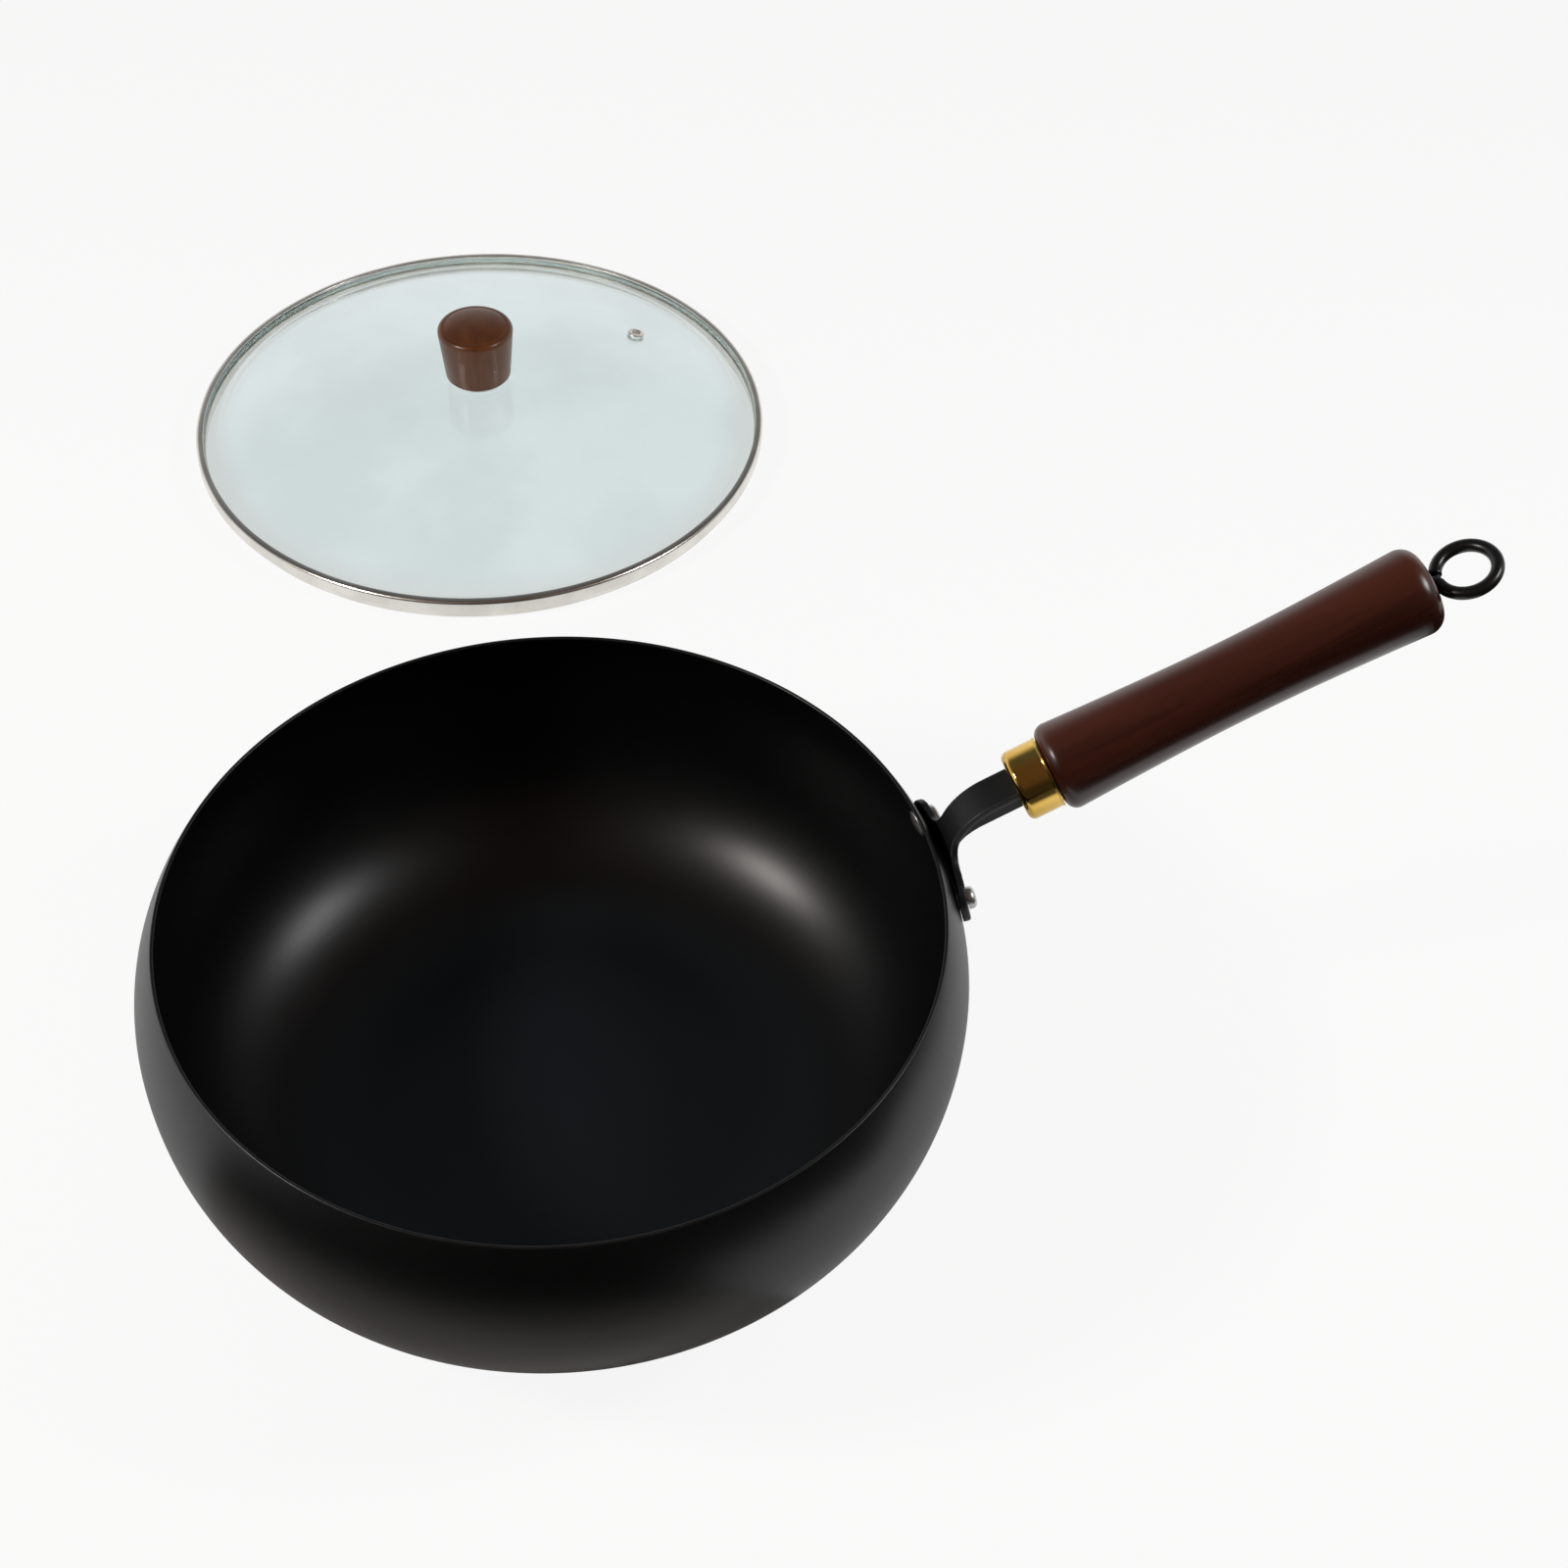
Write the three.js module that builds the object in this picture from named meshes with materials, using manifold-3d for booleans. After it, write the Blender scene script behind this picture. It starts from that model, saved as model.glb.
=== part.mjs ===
// Iron frying pan: a deep, round-bellied bowl with a riveted wooden handle, and its glass lid laid beside it.
// Millimetres, +Z up. The origin is the centre of the flat base, and the handle points along +X.

import * as THREE from 'three';
import { mergeVertices } from 'three/addons/utils/BufferGeometryUtils.js';
import Module from 'manifold-3d';

const wasm = await Module();
wasm.setup();

// Pan body
const rimDiameter = 300;
const panHeight = 120;
const bellyBulge = 11; // how far the widest ring stands out beyond the rim
const bellyDrop = 39; // from the rim down to the widest ring
const baseDiameter = 152;
const panWall = 1.5;
const wallFullness = 0.62; // how far the lower wall holds its direction from each end

// Line of the handle
const handleTilt = THREE.MathUtils.degToRad(23.7);
const handleInset = 2.7; // the handle's axis crosses the rim's level this far inside the rim edge
const ferruleSetback = 40.8; // from that crossing to the front of the ferrule

// Handle bracket
const sheetThickness = 3.2;
const stemWidth = 15;
const stemDepth = 9.5; // flat top to the free edges of the channel
const flangeThickness = 2.2;
const stemBendRadius = 26; // at the middle of the sheet
const gussetReach = 24; // where the free edges turn down to the ear, along the handle's axis
const gussetFoot = 0.2; // how far round the bend, as a share of it, the free edges meet the sheet
const stemReach = 1.3; // past the front wall of the ferrule
const earWidth = 61;
const earHeight = 20;
const earCorner = 7;
const earFillet = 9; // between the ears and the stem

// Rivets
const rivetSpacing = 44;
const rivetDrop = 18; // below the rim
const rivetShank = 5;
const rivetOuterHead = 9;
const rivetOuterCrown = 3.4;
const rivetInnerHead = 11.5;
const rivetInnerCrown = 1.6;
const rivetInnerGap = 0.6; // under the inner head, where the hollow wall curves up to meet it
const rivetHoleReach = 13.2; // of the drill, each way from the wall's outer face

// Ferrule
const ferruleDiameter = 29;
const ferruleLength = 15;
const ferruleWall = 1.2;
const ferruleRound = 3;

// Wooden grip
const gripLength = 161.3;
const gripFrontDiameter = 36;
const gripWaistDiameter = 31.5;
const gripRearDiameter = 35.5;
const gripWaistAt = 82; // from the front of the grip
const gripFrontRound = 5;
const gripRearRound = 7.5;

// Hanging eye and the nut on the end of the stem
const wireDiameter = 5.2;
const eyeDiameter = 28.6;
const eyeOffset = 1.45; // from the handle's axis to the middle of the loop
const eyeGap = 0.5; // between the loop and the end of the grip
const eyeEndGap = 0.6; // between the loop's free end and the neck
const nutAcrossFlats = 10;
const nutLength = 5;

// Lid glass
const glassThickness = 4;
const domeRise = 27;
const landWidth = 7.1; // flat land round the edge, up to where the dome starts
const domeFillet = 8; // where the dome runs out into the land
const glassHole = 9;
const ventAt = 100; // from the centre of the lid
const ventBearing = THREE.MathUtils.degToRad(20);

// Lid band and its liner
const bandSheet = 0.8;
const bandOverhang = 1.5; // beyond the rim of the pan
const bandFlange = 3.8;
const bandRound = 1.9;
const skirtHeight = 5;
const skirtClearance = 0.8; // to the inside of the rim
const gasketThickness = 0.6;
const gasketLeg = 2.4;

// Knob and what holds it
const knobHeight = 32;
const knobTopDiameter = 40;
const knobBaseDiameter = 34;
const knobTopRound = 3;
const knobBaseRound = 1.2;
const knobCrown = 2.5;
const knobSeatDiameter = 30;
const knobSeatThickness = 1.5;
const insertDiameter = 8;
const insertLength = 13;
const screwDiameter = 5;
const screwHeadDiameter = 10;
const screwHeadHeight = 3;
const screwGrip = 11; // length of thread in the insert
const screwGasketDiameter = 17;
const screwGasketThickness = 1.5;
const screwCollar = 2.5; // sleeve of the lower gasket, up into the glass
const screwWasherDiameter = 14;
const screwWasherThickness = 1;

// Vent eyelet
const eyeletBore = 4;
const eyeletBarrel = 6;
const eyeletFlange = 9.4;
const eyeletSheet = 0.8;

// Where the lid lies, on the level of the base
const lidGap = 131; // from the pan's belly to the band
const lidBearing = THREE.MathUtils.degToRad(83.2);

// Clearance between pieces that touch, and the fineness of the round shapes
const clearance = 0.3;
const panFacets = 60;
const lidFacets = 40;
const handleFacets = 24;
const smallFacets = 12;

// Values that follow from the sizes above
const rimRadius = rimDiameter / 2;
const bellyRadius = rimRadius + bellyBulge;
const bellyHeight = panHeight - bellyDrop;
const shoulderRadius = (bellyBulge ** 2 + bellyDrop ** 2) / (2 * bellyBulge);
const shoulderCentre = new THREE.Vector2(bellyRadius - shoulderRadius, bellyHeight);
const axisFoot = new THREE.Vector2(rimRadius - handleInset, panHeight);
const axisAlong = new THREE.Vector2(Math.cos(handleTilt), Math.sin(handleTilt));
const axisUp = new THREE.Vector2(-axisAlong.y, axisAlong.x);
const rivetHeight = panHeight - rivetDrop;
const stemEnd = ferruleSetback + ferruleWall + stemReach;
const nutStart = stemEnd + clearance;
const tenonStart = nutStart + nutLength + clearance;
const gripStart = ferruleSetback + ferruleLength + clearance;
const gripEnd = gripStart + gripLength;

const blackIron = { color: 0x0c0c0d, roughness: 0.42, metalness: 0.7 };
const blackEnamel = { color: 0x101011, roughness: 0.3, metalness: 0.4 };
const aluminium = { color: 0xb9bcc0, roughness: 0.35, metalness: 1 };
const brass = { color: 0xd9a441, roughness: 0.15, metalness: 1 };
const lacqueredWood = { color: 0x42190f, roughness: 0.32, metalness: 0 };
const knobWood = { color: 0x5e2512, roughness: 0.3, metalness: 0 };
const plainSteel = { color: 0x9a9b9d, roughness: 0.35, metalness: 1 };
const polishedSteel = { color: 0xc9ccce, roughness: 0.12, metalness: 1 };
const clearGlass = { color: 0xd4e6e6, roughness: 0.03, metalness: 0, transparent: true, opacity: 0.35 };
const silicone = { color: 0xd8d8d4, roughness: 0.6, metalness: 0 };

// A closed mesh with shared corners and no triangles without area.
function closed(geometry) {
  const bare = geometry.clone();
  bare.deleteAttribute('normal');
  bare.deleteAttribute('uv');
  const merged = mergeVertices(bare, 1e-4);
  const kept = [];
  for (let i = 0; i < merged.index.count; i += 3) {
    const [a, b, c] = [0, 1, 2].map((k) => merged.index.getX(i + k));
    if (a !== b && b !== c && c !== a) kept.push(a, b, c);
  }
  merged.setIndex(kept);
  return merged;
}

function toSolid(geometry) {
  const mesh = closed(geometry);
  const vertProperties = new Float32Array(mesh.attributes.position.array);
  const triVerts = new Uint32Array(mesh.index.array);
  return new wasm.Manifold(new wasm.Mesh({ numProp: 3, vertProperties, triVerts }));
}

function toGeometry(solid) {
  const mesh = solid.getMesh();
  const geometry = new THREE.BufferGeometry();
  geometry.setAttribute('position', new THREE.BufferAttribute(mesh.vertProperties, 3));
  geometry.setIndex(new THREE.BufferAttribute(mesh.triVerts, 1));
  return geometry;
}

function cut(geometry, ...tools) {
  return toGeometry(tools.reduce((solid, tool) => solid.subtract(toSolid(tool)), toSolid(geometry)));
}

// A profile of (radius, height) points, counter-clockwise, turned about +Z.
function revolve(points, facets) {
  return closed(new THREE.LatheGeometry(points, facets).rotateX(Math.PI / 2));
}

// An outline turned about +Z: the path is closed on itself, or starts and ends on the axis.
function revolvePath(path, facets, arcSteps) {
  const points = path.getPoints(arcSteps);
  if (points[0].x > 0) points.push(points[0].clone());
  return revolve(points, facets);
}

function ringPath(innerRadius, outerRadius, low, high) {
  return new THREE.Path()
    .moveTo(innerRadius, low)
    .lineTo(outerRadius, low)
    .lineTo(outerRadius, high)
    .lineTo(innerRadius, high)
    .lineTo(innerRadius, low);
}

function rod(diameter, low, high, facets) {
  const length = high - low;
  return new THREE.CylinderGeometry(diameter / 2, diameter / 2, length, facets)
    .rotateX(Math.PI / 2)
    .translate(0, 0, low + length / 2);
}

// Points along a flat curve, moved sideways: a positive offset goes to the left of its direction.
function offsetPoints(curve, offset, steps) {
  return Array.from({ length: steps + 1 }, (_, i) => {
    const along = curve.getTangent(i / steps);
    return curve.getPoint(i / steps).add(new THREE.Vector2(-along.y, along.x).multiplyScalar(offset));
  });
}

function piece(name, geometry, finish) {
  const mesh = new THREE.Mesh(geometry, new THREE.MeshStandardMaterial(finish));
  mesh.name = name;
  return mesh;
}

// The wall between the belly and the rim is an arc, upright at the belly and cut level at the rim.
function shoulderArc(inset) {
  const radius = shoulderRadius - inset;
  return new THREE.EllipseCurve(
    shoulderCentre.x, shoulderCentre.y, radius, radius, 0, Math.asin(bellyDrop / radius));
}

// The wall between the base and the belly.
function footCurve() {
  const baseRadius = baseDiameter / 2;
  return new THREE.CubicBezierCurve(
    new THREE.Vector2(baseRadius, 0),
    new THREE.Vector2(baseRadius + wallFullness * (bellyRadius - baseRadius), 0),
    new THREE.Vector2(bellyRadius, (1 - wallFullness) * bellyHeight),
    new THREE.Vector2(bellyRadius, bellyHeight));
}

function panSide(inset) {
  const [footSteps, shoulderSteps] = [11, 4];
  const shoulder = shoulderArc(inset).getPoints(shoulderSteps);
  return [new THREE.Vector2(0, inset), ...offsetPoints(footCurve(), inset, footSteps), ...shoulder.slice(1)];
}

// Where a rivet stands: +Z points out of the wall, and the origin is on the wall's outer face.
function rivetPlace(side) {
  const lean = Math.asin((rivetHeight - bellyHeight) / shoulderRadius);
  const radius = shoulderCentre.x + shoulderRadius * Math.cos(lean);
  const bearing = side * Math.asin(rivetSpacing / 2 / radius);
  return new THREE.Matrix4()
    .makeRotationZ(bearing)
    .multiply(new THREE.Matrix4().makeTranslation(radius, 0, rivetHeight))
    .multiply(new THREE.Matrix4().makeRotationY(Math.PI / 2 - lean));
}

function rivetHole(side) {
  const drill = rod(rivetShank + 2 * clearance, -rivetHoleReach, rivetHoleReach, smallFacets);
  return drill.applyMatrix4(rivetPlace(side));
}

function panBody() {
  const profile = [...panSide(0), ...panSide(panWall).reverse()];
  return cut(revolve(profile, panFacets), rivetHole(1), rivetHole(-1));
}

// The bracket's sheet seen from the side: up the wall, round the bend and along the handle.
function bracketLine() {
  const earRadius = shoulderRadius + clearance + sheetThickness / 2;
  const stemRise = (stemDepth - sheetThickness) / 2;
  const reach = earRadius + stemBendRadius;
  const level = axisFoot.clone().addScaledVector(axisUp, stemRise - stemBendRadius);
  const fromCentre = level.clone().sub(shoulderCentre);
  const ahead = fromCentre.dot(axisAlong);
  const bendAt = Math.sqrt(ahead ** 2 - fromCentre.lengthSq() + reach ** 2) - ahead;
  const bend = level.addScaledVector(axisAlong, bendAt);
  const leave = bend.clone().sub(shoulderCentre).angle();
  const top = axisFoot.clone().addScaledVector(axisUp, stemRise);
  const ear = new THREE.EllipseCurve(shoulderCentre.x, shoulderCentre.y, earRadius, earRadius, 0, leave);
  const turn = new THREE.EllipseCurve(
    bend.x, bend.y, stemBendRadius, stemBendRadius, leave + Math.PI, handleTilt + Math.PI / 2, true);
  const stem = new THREE.LineCurve(
    top.clone().addScaledVector(axisAlong, bendAt), top.clone().addScaledVector(axisAlong, stemEnd));
  return { ear, turn, stem };
}

function bracketSide(line, offset) {
  const [earSteps, turnSteps] = [6, 8];
  return [
    ...offsetPoints(line.ear, offset, earSteps),
    ...offsetPoints(line.turn, offset, turnSteps).slice(1),
    ...offsetPoints(line.stem, offset, 1).slice(1),
  ];
}

// Front view of the bracket: ears with round corners, and fillets up to the stem.
function bracketOutline() {
  const [halfEar, halfStem] = [earWidth / 2, stemWidth / 2];
  const [low, high] = [rivetHeight - earHeight / 2, rivetHeight + earHeight / 2];
  const top = panHeight + stemEnd;
  const quarter = Math.PI / 2;
  return new THREE.Shape()
    .moveTo(0, low)
    .absarc(halfEar - earCorner, low + earCorner, earCorner, -quarter, 0)
    .absarc(halfEar - earCorner, high - earCorner, earCorner, 0, quarter)
    .absarc(halfStem + earFillet, high + earFillet, earFillet, -quarter, 2 * quarter, true)
    .lineTo(halfStem, top)
    .lineTo(-halfStem, top)
    .absarc(-halfStem - earFillet, high + earFillet, earFillet, 0, -quarter, true)
    .absarc(-halfEar + earCorner, high - earCorner, earCorner, quarter, 2 * quarter)
    .absarc(-halfEar + earCorner, low + earCorner, earCorner, 2 * quarter, 3 * quarter);
}

// Side view of one channel flange, with its free edge running down into the bend like a gusset.
function flangeOutline(line) {
  const steps = 8;
  const inside = Array.from(
    { length: steps + 1 }, (_, i) => line.turn.getPoint(gussetFoot + (1 - gussetFoot) * i / steps));
  inside.push(line.stem.getPoint(1));
  const edge = axisFoot.clone().addScaledVector(axisUp, -stemDepth / 2);
  const edgeEnd = edge.clone().addScaledVector(axisAlong, stemEnd);
  const edgeTurn = edge.clone().addScaledVector(axisAlong, gussetReach);
  const upSheet = line.turn.getTangent(gussetFoot);
  const outOfSheet = new THREE.Vector2(upSheet.y, -upSheet.x);
  const foot = inside[0].clone().addScaledVector(outOfSheet, sheetThickness / 2);
  const rise = foot.clone().sub(edge).cross(axisAlong) / axisAlong.cross(upSheet);
  const corner = foot.clone().addScaledVector(upSheet, rise);
  const shape = new THREE.Shape(inside);
  shape.lineTo(edgeEnd.x, edgeEnd.y);
  shape.lineTo(edgeTurn.x, edgeTurn.y);
  shape.quadraticCurveTo(corner.x, corner.y, foot.x, foot.y);
  return shape;
}

function handleBracket() {
  const line = bracketLine();
  const halfSheet = sheetThickness / 2;
  const profile = [...bracketSide(line, -halfSheet), ...bracketSide(line, halfSheet).reverse()];
  profile.push(profile[0].clone());
  const frontView = new THREE.Matrix4().makeBasis(
    new THREE.Vector3(0, 1, 0), new THREE.Vector3(0, 0, 1), new THREE.Vector3(1, 0, 0));
  const sideView = new THREE.Matrix4().makeBasis(
    new THREE.Vector3(1, 0, 0), new THREE.Vector3(0, 0, 1), new THREE.Vector3(0, -1, 0));
  const blank = new THREE.ExtrudeGeometry(
    bracketOutline(), { depth: 2 * bellyRadius, bevelEnabled: false, curveSegments: 3 });
  const flange = new THREE.ExtrudeGeometry(
    flangeOutline(line), { depth: flangeThickness, bevelEnabled: false, curveSegments: 6 });
  flange.applyMatrix4(sideView);
  const sheet = toSolid(revolve(profile, 2 * panFacets)).intersect(toSolid(blank.applyMatrix4(frontView)));
  const near = toSolid(flange.clone().translate(0, flangeThickness - stemWidth / 2, 0));
  const far = toSolid(flange.translate(0, stemWidth / 2, 0));
  return cut(toGeometry(sheet.add(near).add(far)), rivetHole(1), rivetHole(-1));
}

// A rivet head seen from the side: from the axis at its crown out to its edge.
function headArc(diameter, crown, seat, up) {
  const radius = ((diameter / 2) ** 2 + crown ** 2) / (2 * crown);
  const half = Math.asin(diameter / 2 / radius);
  const quarter = Math.PI / 2;
  const centre = seat + up * (crown - radius);
  return up > 0
    ? new THREE.EllipseCurve(0, centre, radius, radius, quarter - half, quarter)
    : new THREE.EllipseCurve(0, centre, radius, radius, -quarter, half - quarter);
}

function rivet() {
  const outerSeat = sheetThickness + 2 * clearance;
  const innerSeat = -panWall - rivetInnerGap;
  const shank = rivetShank / 2;
  const arcSteps = 4;
  const profile = [
    ...headArc(rivetInnerHead, rivetInnerCrown, innerSeat, -1).getPoints(arcSteps),
    new THREE.Vector2(shank, innerSeat),
    new THREE.Vector2(shank, outerSeat),
    ...headArc(rivetOuterHead, rivetOuterCrown, outerSeat, 1).getPoints(arcSteps),
  ];
  [profile[0].x, profile[profile.length - 1].x] = [0, 0];
  return revolve(profile, smallFacets);
}

function ferrule() {
  const radius = ferruleDiameter / 2;
  const inner = radius - ferruleWall;
  const path = new THREE.Path()
    .moveTo(0, 0)
    .absarc(radius - ferruleRound, ferruleRound, ferruleRound, -Math.PI / 2, 0)
    .lineTo(radius, ferruleLength)
    .lineTo(inner, ferruleLength)
    .absarc(radius - ferruleRound, ferruleRound, ferruleRound - ferruleWall, 0, -Math.PI / 2, true)
    .lineTo(0, ferruleWall);
  const window = new THREE.BoxGeometry(stemDepth + 2 * clearance, stemWidth + 2 * clearance, 4 * ferruleWall);
  return cut(revolvePath(path, handleFacets, 2), window).translate(0, 0, ferruleSetback);
}

function stemNut() {
  const hexagon = new THREE.Shape();
  const corner = nutAcrossFlats / Math.sqrt(3);
  for (let i = 0; i < 6; i += 1) {
    const at = [corner * Math.cos(i * Math.PI / 3), corner * Math.sin(i * Math.PI / 3)];
    if (i === 0) hexagon.moveTo(...at);
    else hexagon.lineTo(...at);
  }
  hexagon.holes.push(new THREE.Path().absarc(0, 0, wireDiameter / 2 + clearance, 0, 2 * Math.PI, true));
  const solid = new THREE.ExtrudeGeometry(
    hexagon, { depth: nutLength, bevelEnabled: false, curveSegments: smallFacets / 2 });
  return closed(solid.translate(0, 0, nutStart));
}

function handleGrip() {
  const bore = wireDiameter / 2 + clearance;
  const tenon = ferruleDiameter / 2 - ferruleWall - clearance;
  const [front, waist, rear] = [gripFrontDiameter / 2, gripWaistDiameter / 2, gripRearDiameter / 2];
  const waistZ = gripStart + gripWaistAt;
  const frontZ = gripStart + gripFrontRound;
  const rearZ = gripEnd - gripRearRound;
  const third = (a, b) => (b - a) / 3;
  const path = new THREE.Path()
    .moveTo(bore, tenonStart)
    .lineTo(tenon, tenonStart)
    .lineTo(tenon, gripStart)
    .absarc(front - gripFrontRound, frontZ, gripFrontRound, -Math.PI / 2, 0)
    .bezierCurveTo(
      (front + waist) / 2, frontZ + third(frontZ, waistZ), waist, waistZ - third(frontZ, waistZ), waist, waistZ)
    .bezierCurveTo(
      waist, waistZ + third(waistZ, rearZ), (waist + rear) / 2, rearZ - third(waistZ, rearZ), rear, rearZ)
    .absarc(rear - gripRearRound, rearZ, gripRearRound, 0, Math.PI / 2)
    .lineTo(bore, gripEnd);
  return revolvePath(path, handleFacets, 4);
}

// A flat path, drawn as (along the handle, sideways), set upright in the handle's own axes.
class WirePath extends THREE.Curve {
  constructor(flat) {
    super();
    this.flat = flat;
  }

  getPoint(t) {
    const { x, y } = this.flat.getPoint(t);
    return new THREE.Vector3(0, y, x);
  }
}

function hangingEye() {
  const loop = (eyeDiameter - wireDiameter) / 2;
  const neck = wireDiameter / 2 + eyeGap;
  const span = neck + loop;
  const swing = Math.asin((neck - eyeOffset) / span);
  const eyeAt = gripEnd + span * Math.cos(swing);
  const nearest = neck + wireDiameter / 2 + eyeEndGap; // from the free end to the centre of the neck's bend
  const closing = Math.acos((loop ** 2 + span ** 2 - nearest ** 2) / (2 * loop * span));
  const flat = new THREE.Path()
    .moveTo(nutStart + clearance, 0)
    .lineTo(gripEnd, 0)
    .absarc(gripEnd, -neck, neck, Math.PI / 2, swing, true)
    .absarc(eyeAt, -eyeOffset, loop, swing - Math.PI, Math.PI + swing - closing);
  const section = new THREE.Shape().absarc(0, 0, wireDiameter / 2, 0, 2 * Math.PI);
  return closed(new THREE.ExtrudeGeometry(
    section, { steps: 68, curveSegments: 4, bevelEnabled: false, extrudePath: new WirePath(flat) }));
}

// Heights and radii through the lid, from the foot of the band's skirt.
const rimInside = shoulderArc(panWall).getPoint(1).x;
const bandOuter = rimRadius + bandOverhang;
const gasketOuter = bandOuter - bandSheet - clearance;
const glassRadius = gasketOuter - gasketThickness - clearance;
const gasketLow = skirtHeight + bandSheet + clearance;
const landLow = gasketLow + gasketThickness + clearance;
const landTop = landLow + glassThickness;
const gasketHigh = landTop + clearance + gasketThickness;
const bandTop = gasketHigh + clearance + bandSheet;
const domeFoot = glassRadius - landWidth;
const domeRadius = (domeFoot ** 2 + domeRise ** 2) / (2 * domeRise) - domeFillet;
const domeCentre = landTop + domeRise - domeRadius;
const domeTop = landTop + domeRise;
const knobSeatLow = domeTop + clearance;
const knobBase = knobSeatLow + knobSeatThickness + clearance;
const screwGasketTop = domeTop - glassThickness - clearance;
const screwWasherTop = screwGasketTop - screwGasketThickness - clearance;
const screwHeadTop = screwWasherTop - screwWasherThickness - clearance;
const screwBore = screwDiameter / 2 + clearance;

function ventPlace() {
  const lean = Math.asin(ventAt / domeRadius);
  return new THREE.Matrix4()
    .makeRotationZ(ventBearing)
    .multiply(new THREE.Matrix4().makeTranslation(ventAt, 0, domeCentre + domeRadius * Math.cos(lean)))
    .multiply(new THREE.Matrix4().makeRotationY(lean));
}

function lidGlass() {
  const filletHeight = landTop + domeFillet;
  const meet = Math.atan2(filletHeight - domeCentre, domeFoot);
  const [top, bottom] = [Math.PI / 2, 1.5 * Math.PI];
  const path = new THREE.Path()
    .moveTo(0, domeTop - glassThickness)
    .absarc(0, domeCentre, domeRadius - glassThickness, top, meet, true)
    .absarc(domeFoot, filletHeight, domeFillet + glassThickness, meet + Math.PI, bottom)
    .lineTo(glassRadius, landLow)
    .lineTo(glassRadius, landTop)
    .absarc(domeFoot, filletHeight, domeFillet, bottom, meet + Math.PI, true)
    .absarc(0, domeCentre, domeRadius, meet, top);
  const points = path.getPoints(3);
  [points[0].x, points[points.length - 1].x] = [0, 0];
  const vent = rod(eyeletBarrel + 2 * clearance, -3 * glassThickness, 3 * glassThickness, smallFacets);
  return cut(
    revolve(points, lidFacets),
    rod(glassHole, domeTop - 3 * glassThickness, domeTop + glassThickness, smallFacets),
    vent.applyMatrix4(ventPlace()));
}

function lidBand() {
  const skirtOuter = rimInside - skirtClearance;
  const skirtInner = skirtOuter - bandSheet;
  const inside = bandOuter - bandSheet;
  const flangeInner = bandOuter - bandFlange;
  const turn = bandOuter - bandRound;
  const path = new THREE.Path()
    .moveTo(skirtInner, 0)
    .lineTo(skirtOuter, 0)
    .lineTo(skirtOuter, skirtHeight)
    .absarc(turn, skirtHeight + bandRound, bandRound, -Math.PI / 2, 0)
    .absarc(turn, bandTop - bandRound, bandRound, 0, Math.PI / 2)
    .lineTo(flangeInner, bandTop)
    .lineTo(flangeInner, bandTop - bandSheet)
    .lineTo(inside, bandTop - bandSheet)
    .lineTo(inside, skirtHeight + bandSheet)
    .lineTo(skirtInner, skirtHeight + bandSheet);
  return revolvePath(path, lidFacets, 2);
}

function edgeGasket() {
  const legEnd = gasketOuter - gasketLeg;
  const inside = gasketOuter - gasketThickness;
  const path = new THREE.Path()
    .moveTo(legEnd, gasketLow)
    .lineTo(gasketOuter, gasketLow)
    .lineTo(gasketOuter, gasketHigh)
    .lineTo(legEnd, gasketHigh)
    .lineTo(legEnd, gasketHigh - gasketThickness)
    .lineTo(inside, gasketHigh - gasketThickness)
    .lineTo(inside, gasketLow + gasketThickness)
    .lineTo(legEnd, gasketLow + gasketThickness);
  return revolvePath(path, lidFacets, 1);
}

function lidKnob() {
  const [base, top] = [knobBaseDiameter / 2, knobTopDiameter / 2];
  const socket = insertDiameter / 2 + clearance;
  const socketTop = knobBase + insertLength + clearance;
  const edge = knobBase + knobHeight - knobCrown;
  const path = new THREE.Path()
    .moveTo(0, socketTop)
    .lineTo(socket, socketTop)
    .lineTo(socket, knobBase)
    .absarc(base - knobBaseRound, knobBase + knobBaseRound, knobBaseRound, -Math.PI / 2, 0)
    .absarc(top - knobTopRound, edge - knobTopRound, knobTopRound, 0, Math.PI / 2)
    .quadraticCurveTo(top / 2, edge + knobCrown, 0, edge + knobCrown);
  return revolvePath(path, handleFacets, 2);
}

function knobScrew() {
  const [head, shank] = [screwHeadDiameter / 2, screwDiameter / 2];
  const tip = knobBase + screwGrip;
  const low = screwHeadTop - screwHeadHeight;
  const path = new THREE.Path()
    .moveTo(0, low)
    .quadraticCurveTo(head, low, head, screwHeadTop)
    .lineTo(shank, screwHeadTop)
    .lineTo(shank, tip)
    .lineTo(0, tip);
  return revolvePath(path, smallFacets, 4);
}

// The lower gasket has a sleeve that keeps the screw clear of the glass.
function screwGasket() {
  const outer = screwGasketDiameter / 2;
  const sleeve = glassHole / 2 - clearance;
  const low = screwGasketTop - screwGasketThickness;
  const path = new THREE.Path()
    .moveTo(screwBore, low)
    .lineTo(outer, low)
    .lineTo(outer, screwGasketTop)
    .lineTo(sleeve, screwGasketTop)
    .lineTo(sleeve, screwGasketTop + screwCollar)
    .lineTo(screwBore, screwGasketTop + screwCollar);
  return revolvePath(path, smallFacets, 1);
}

function washer(innerRadius, diameter, low, thickness) {
  return revolvePath(ringPath(innerRadius, diameter / 2, low, low + thickness), smallFacets, 1);
}

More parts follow.
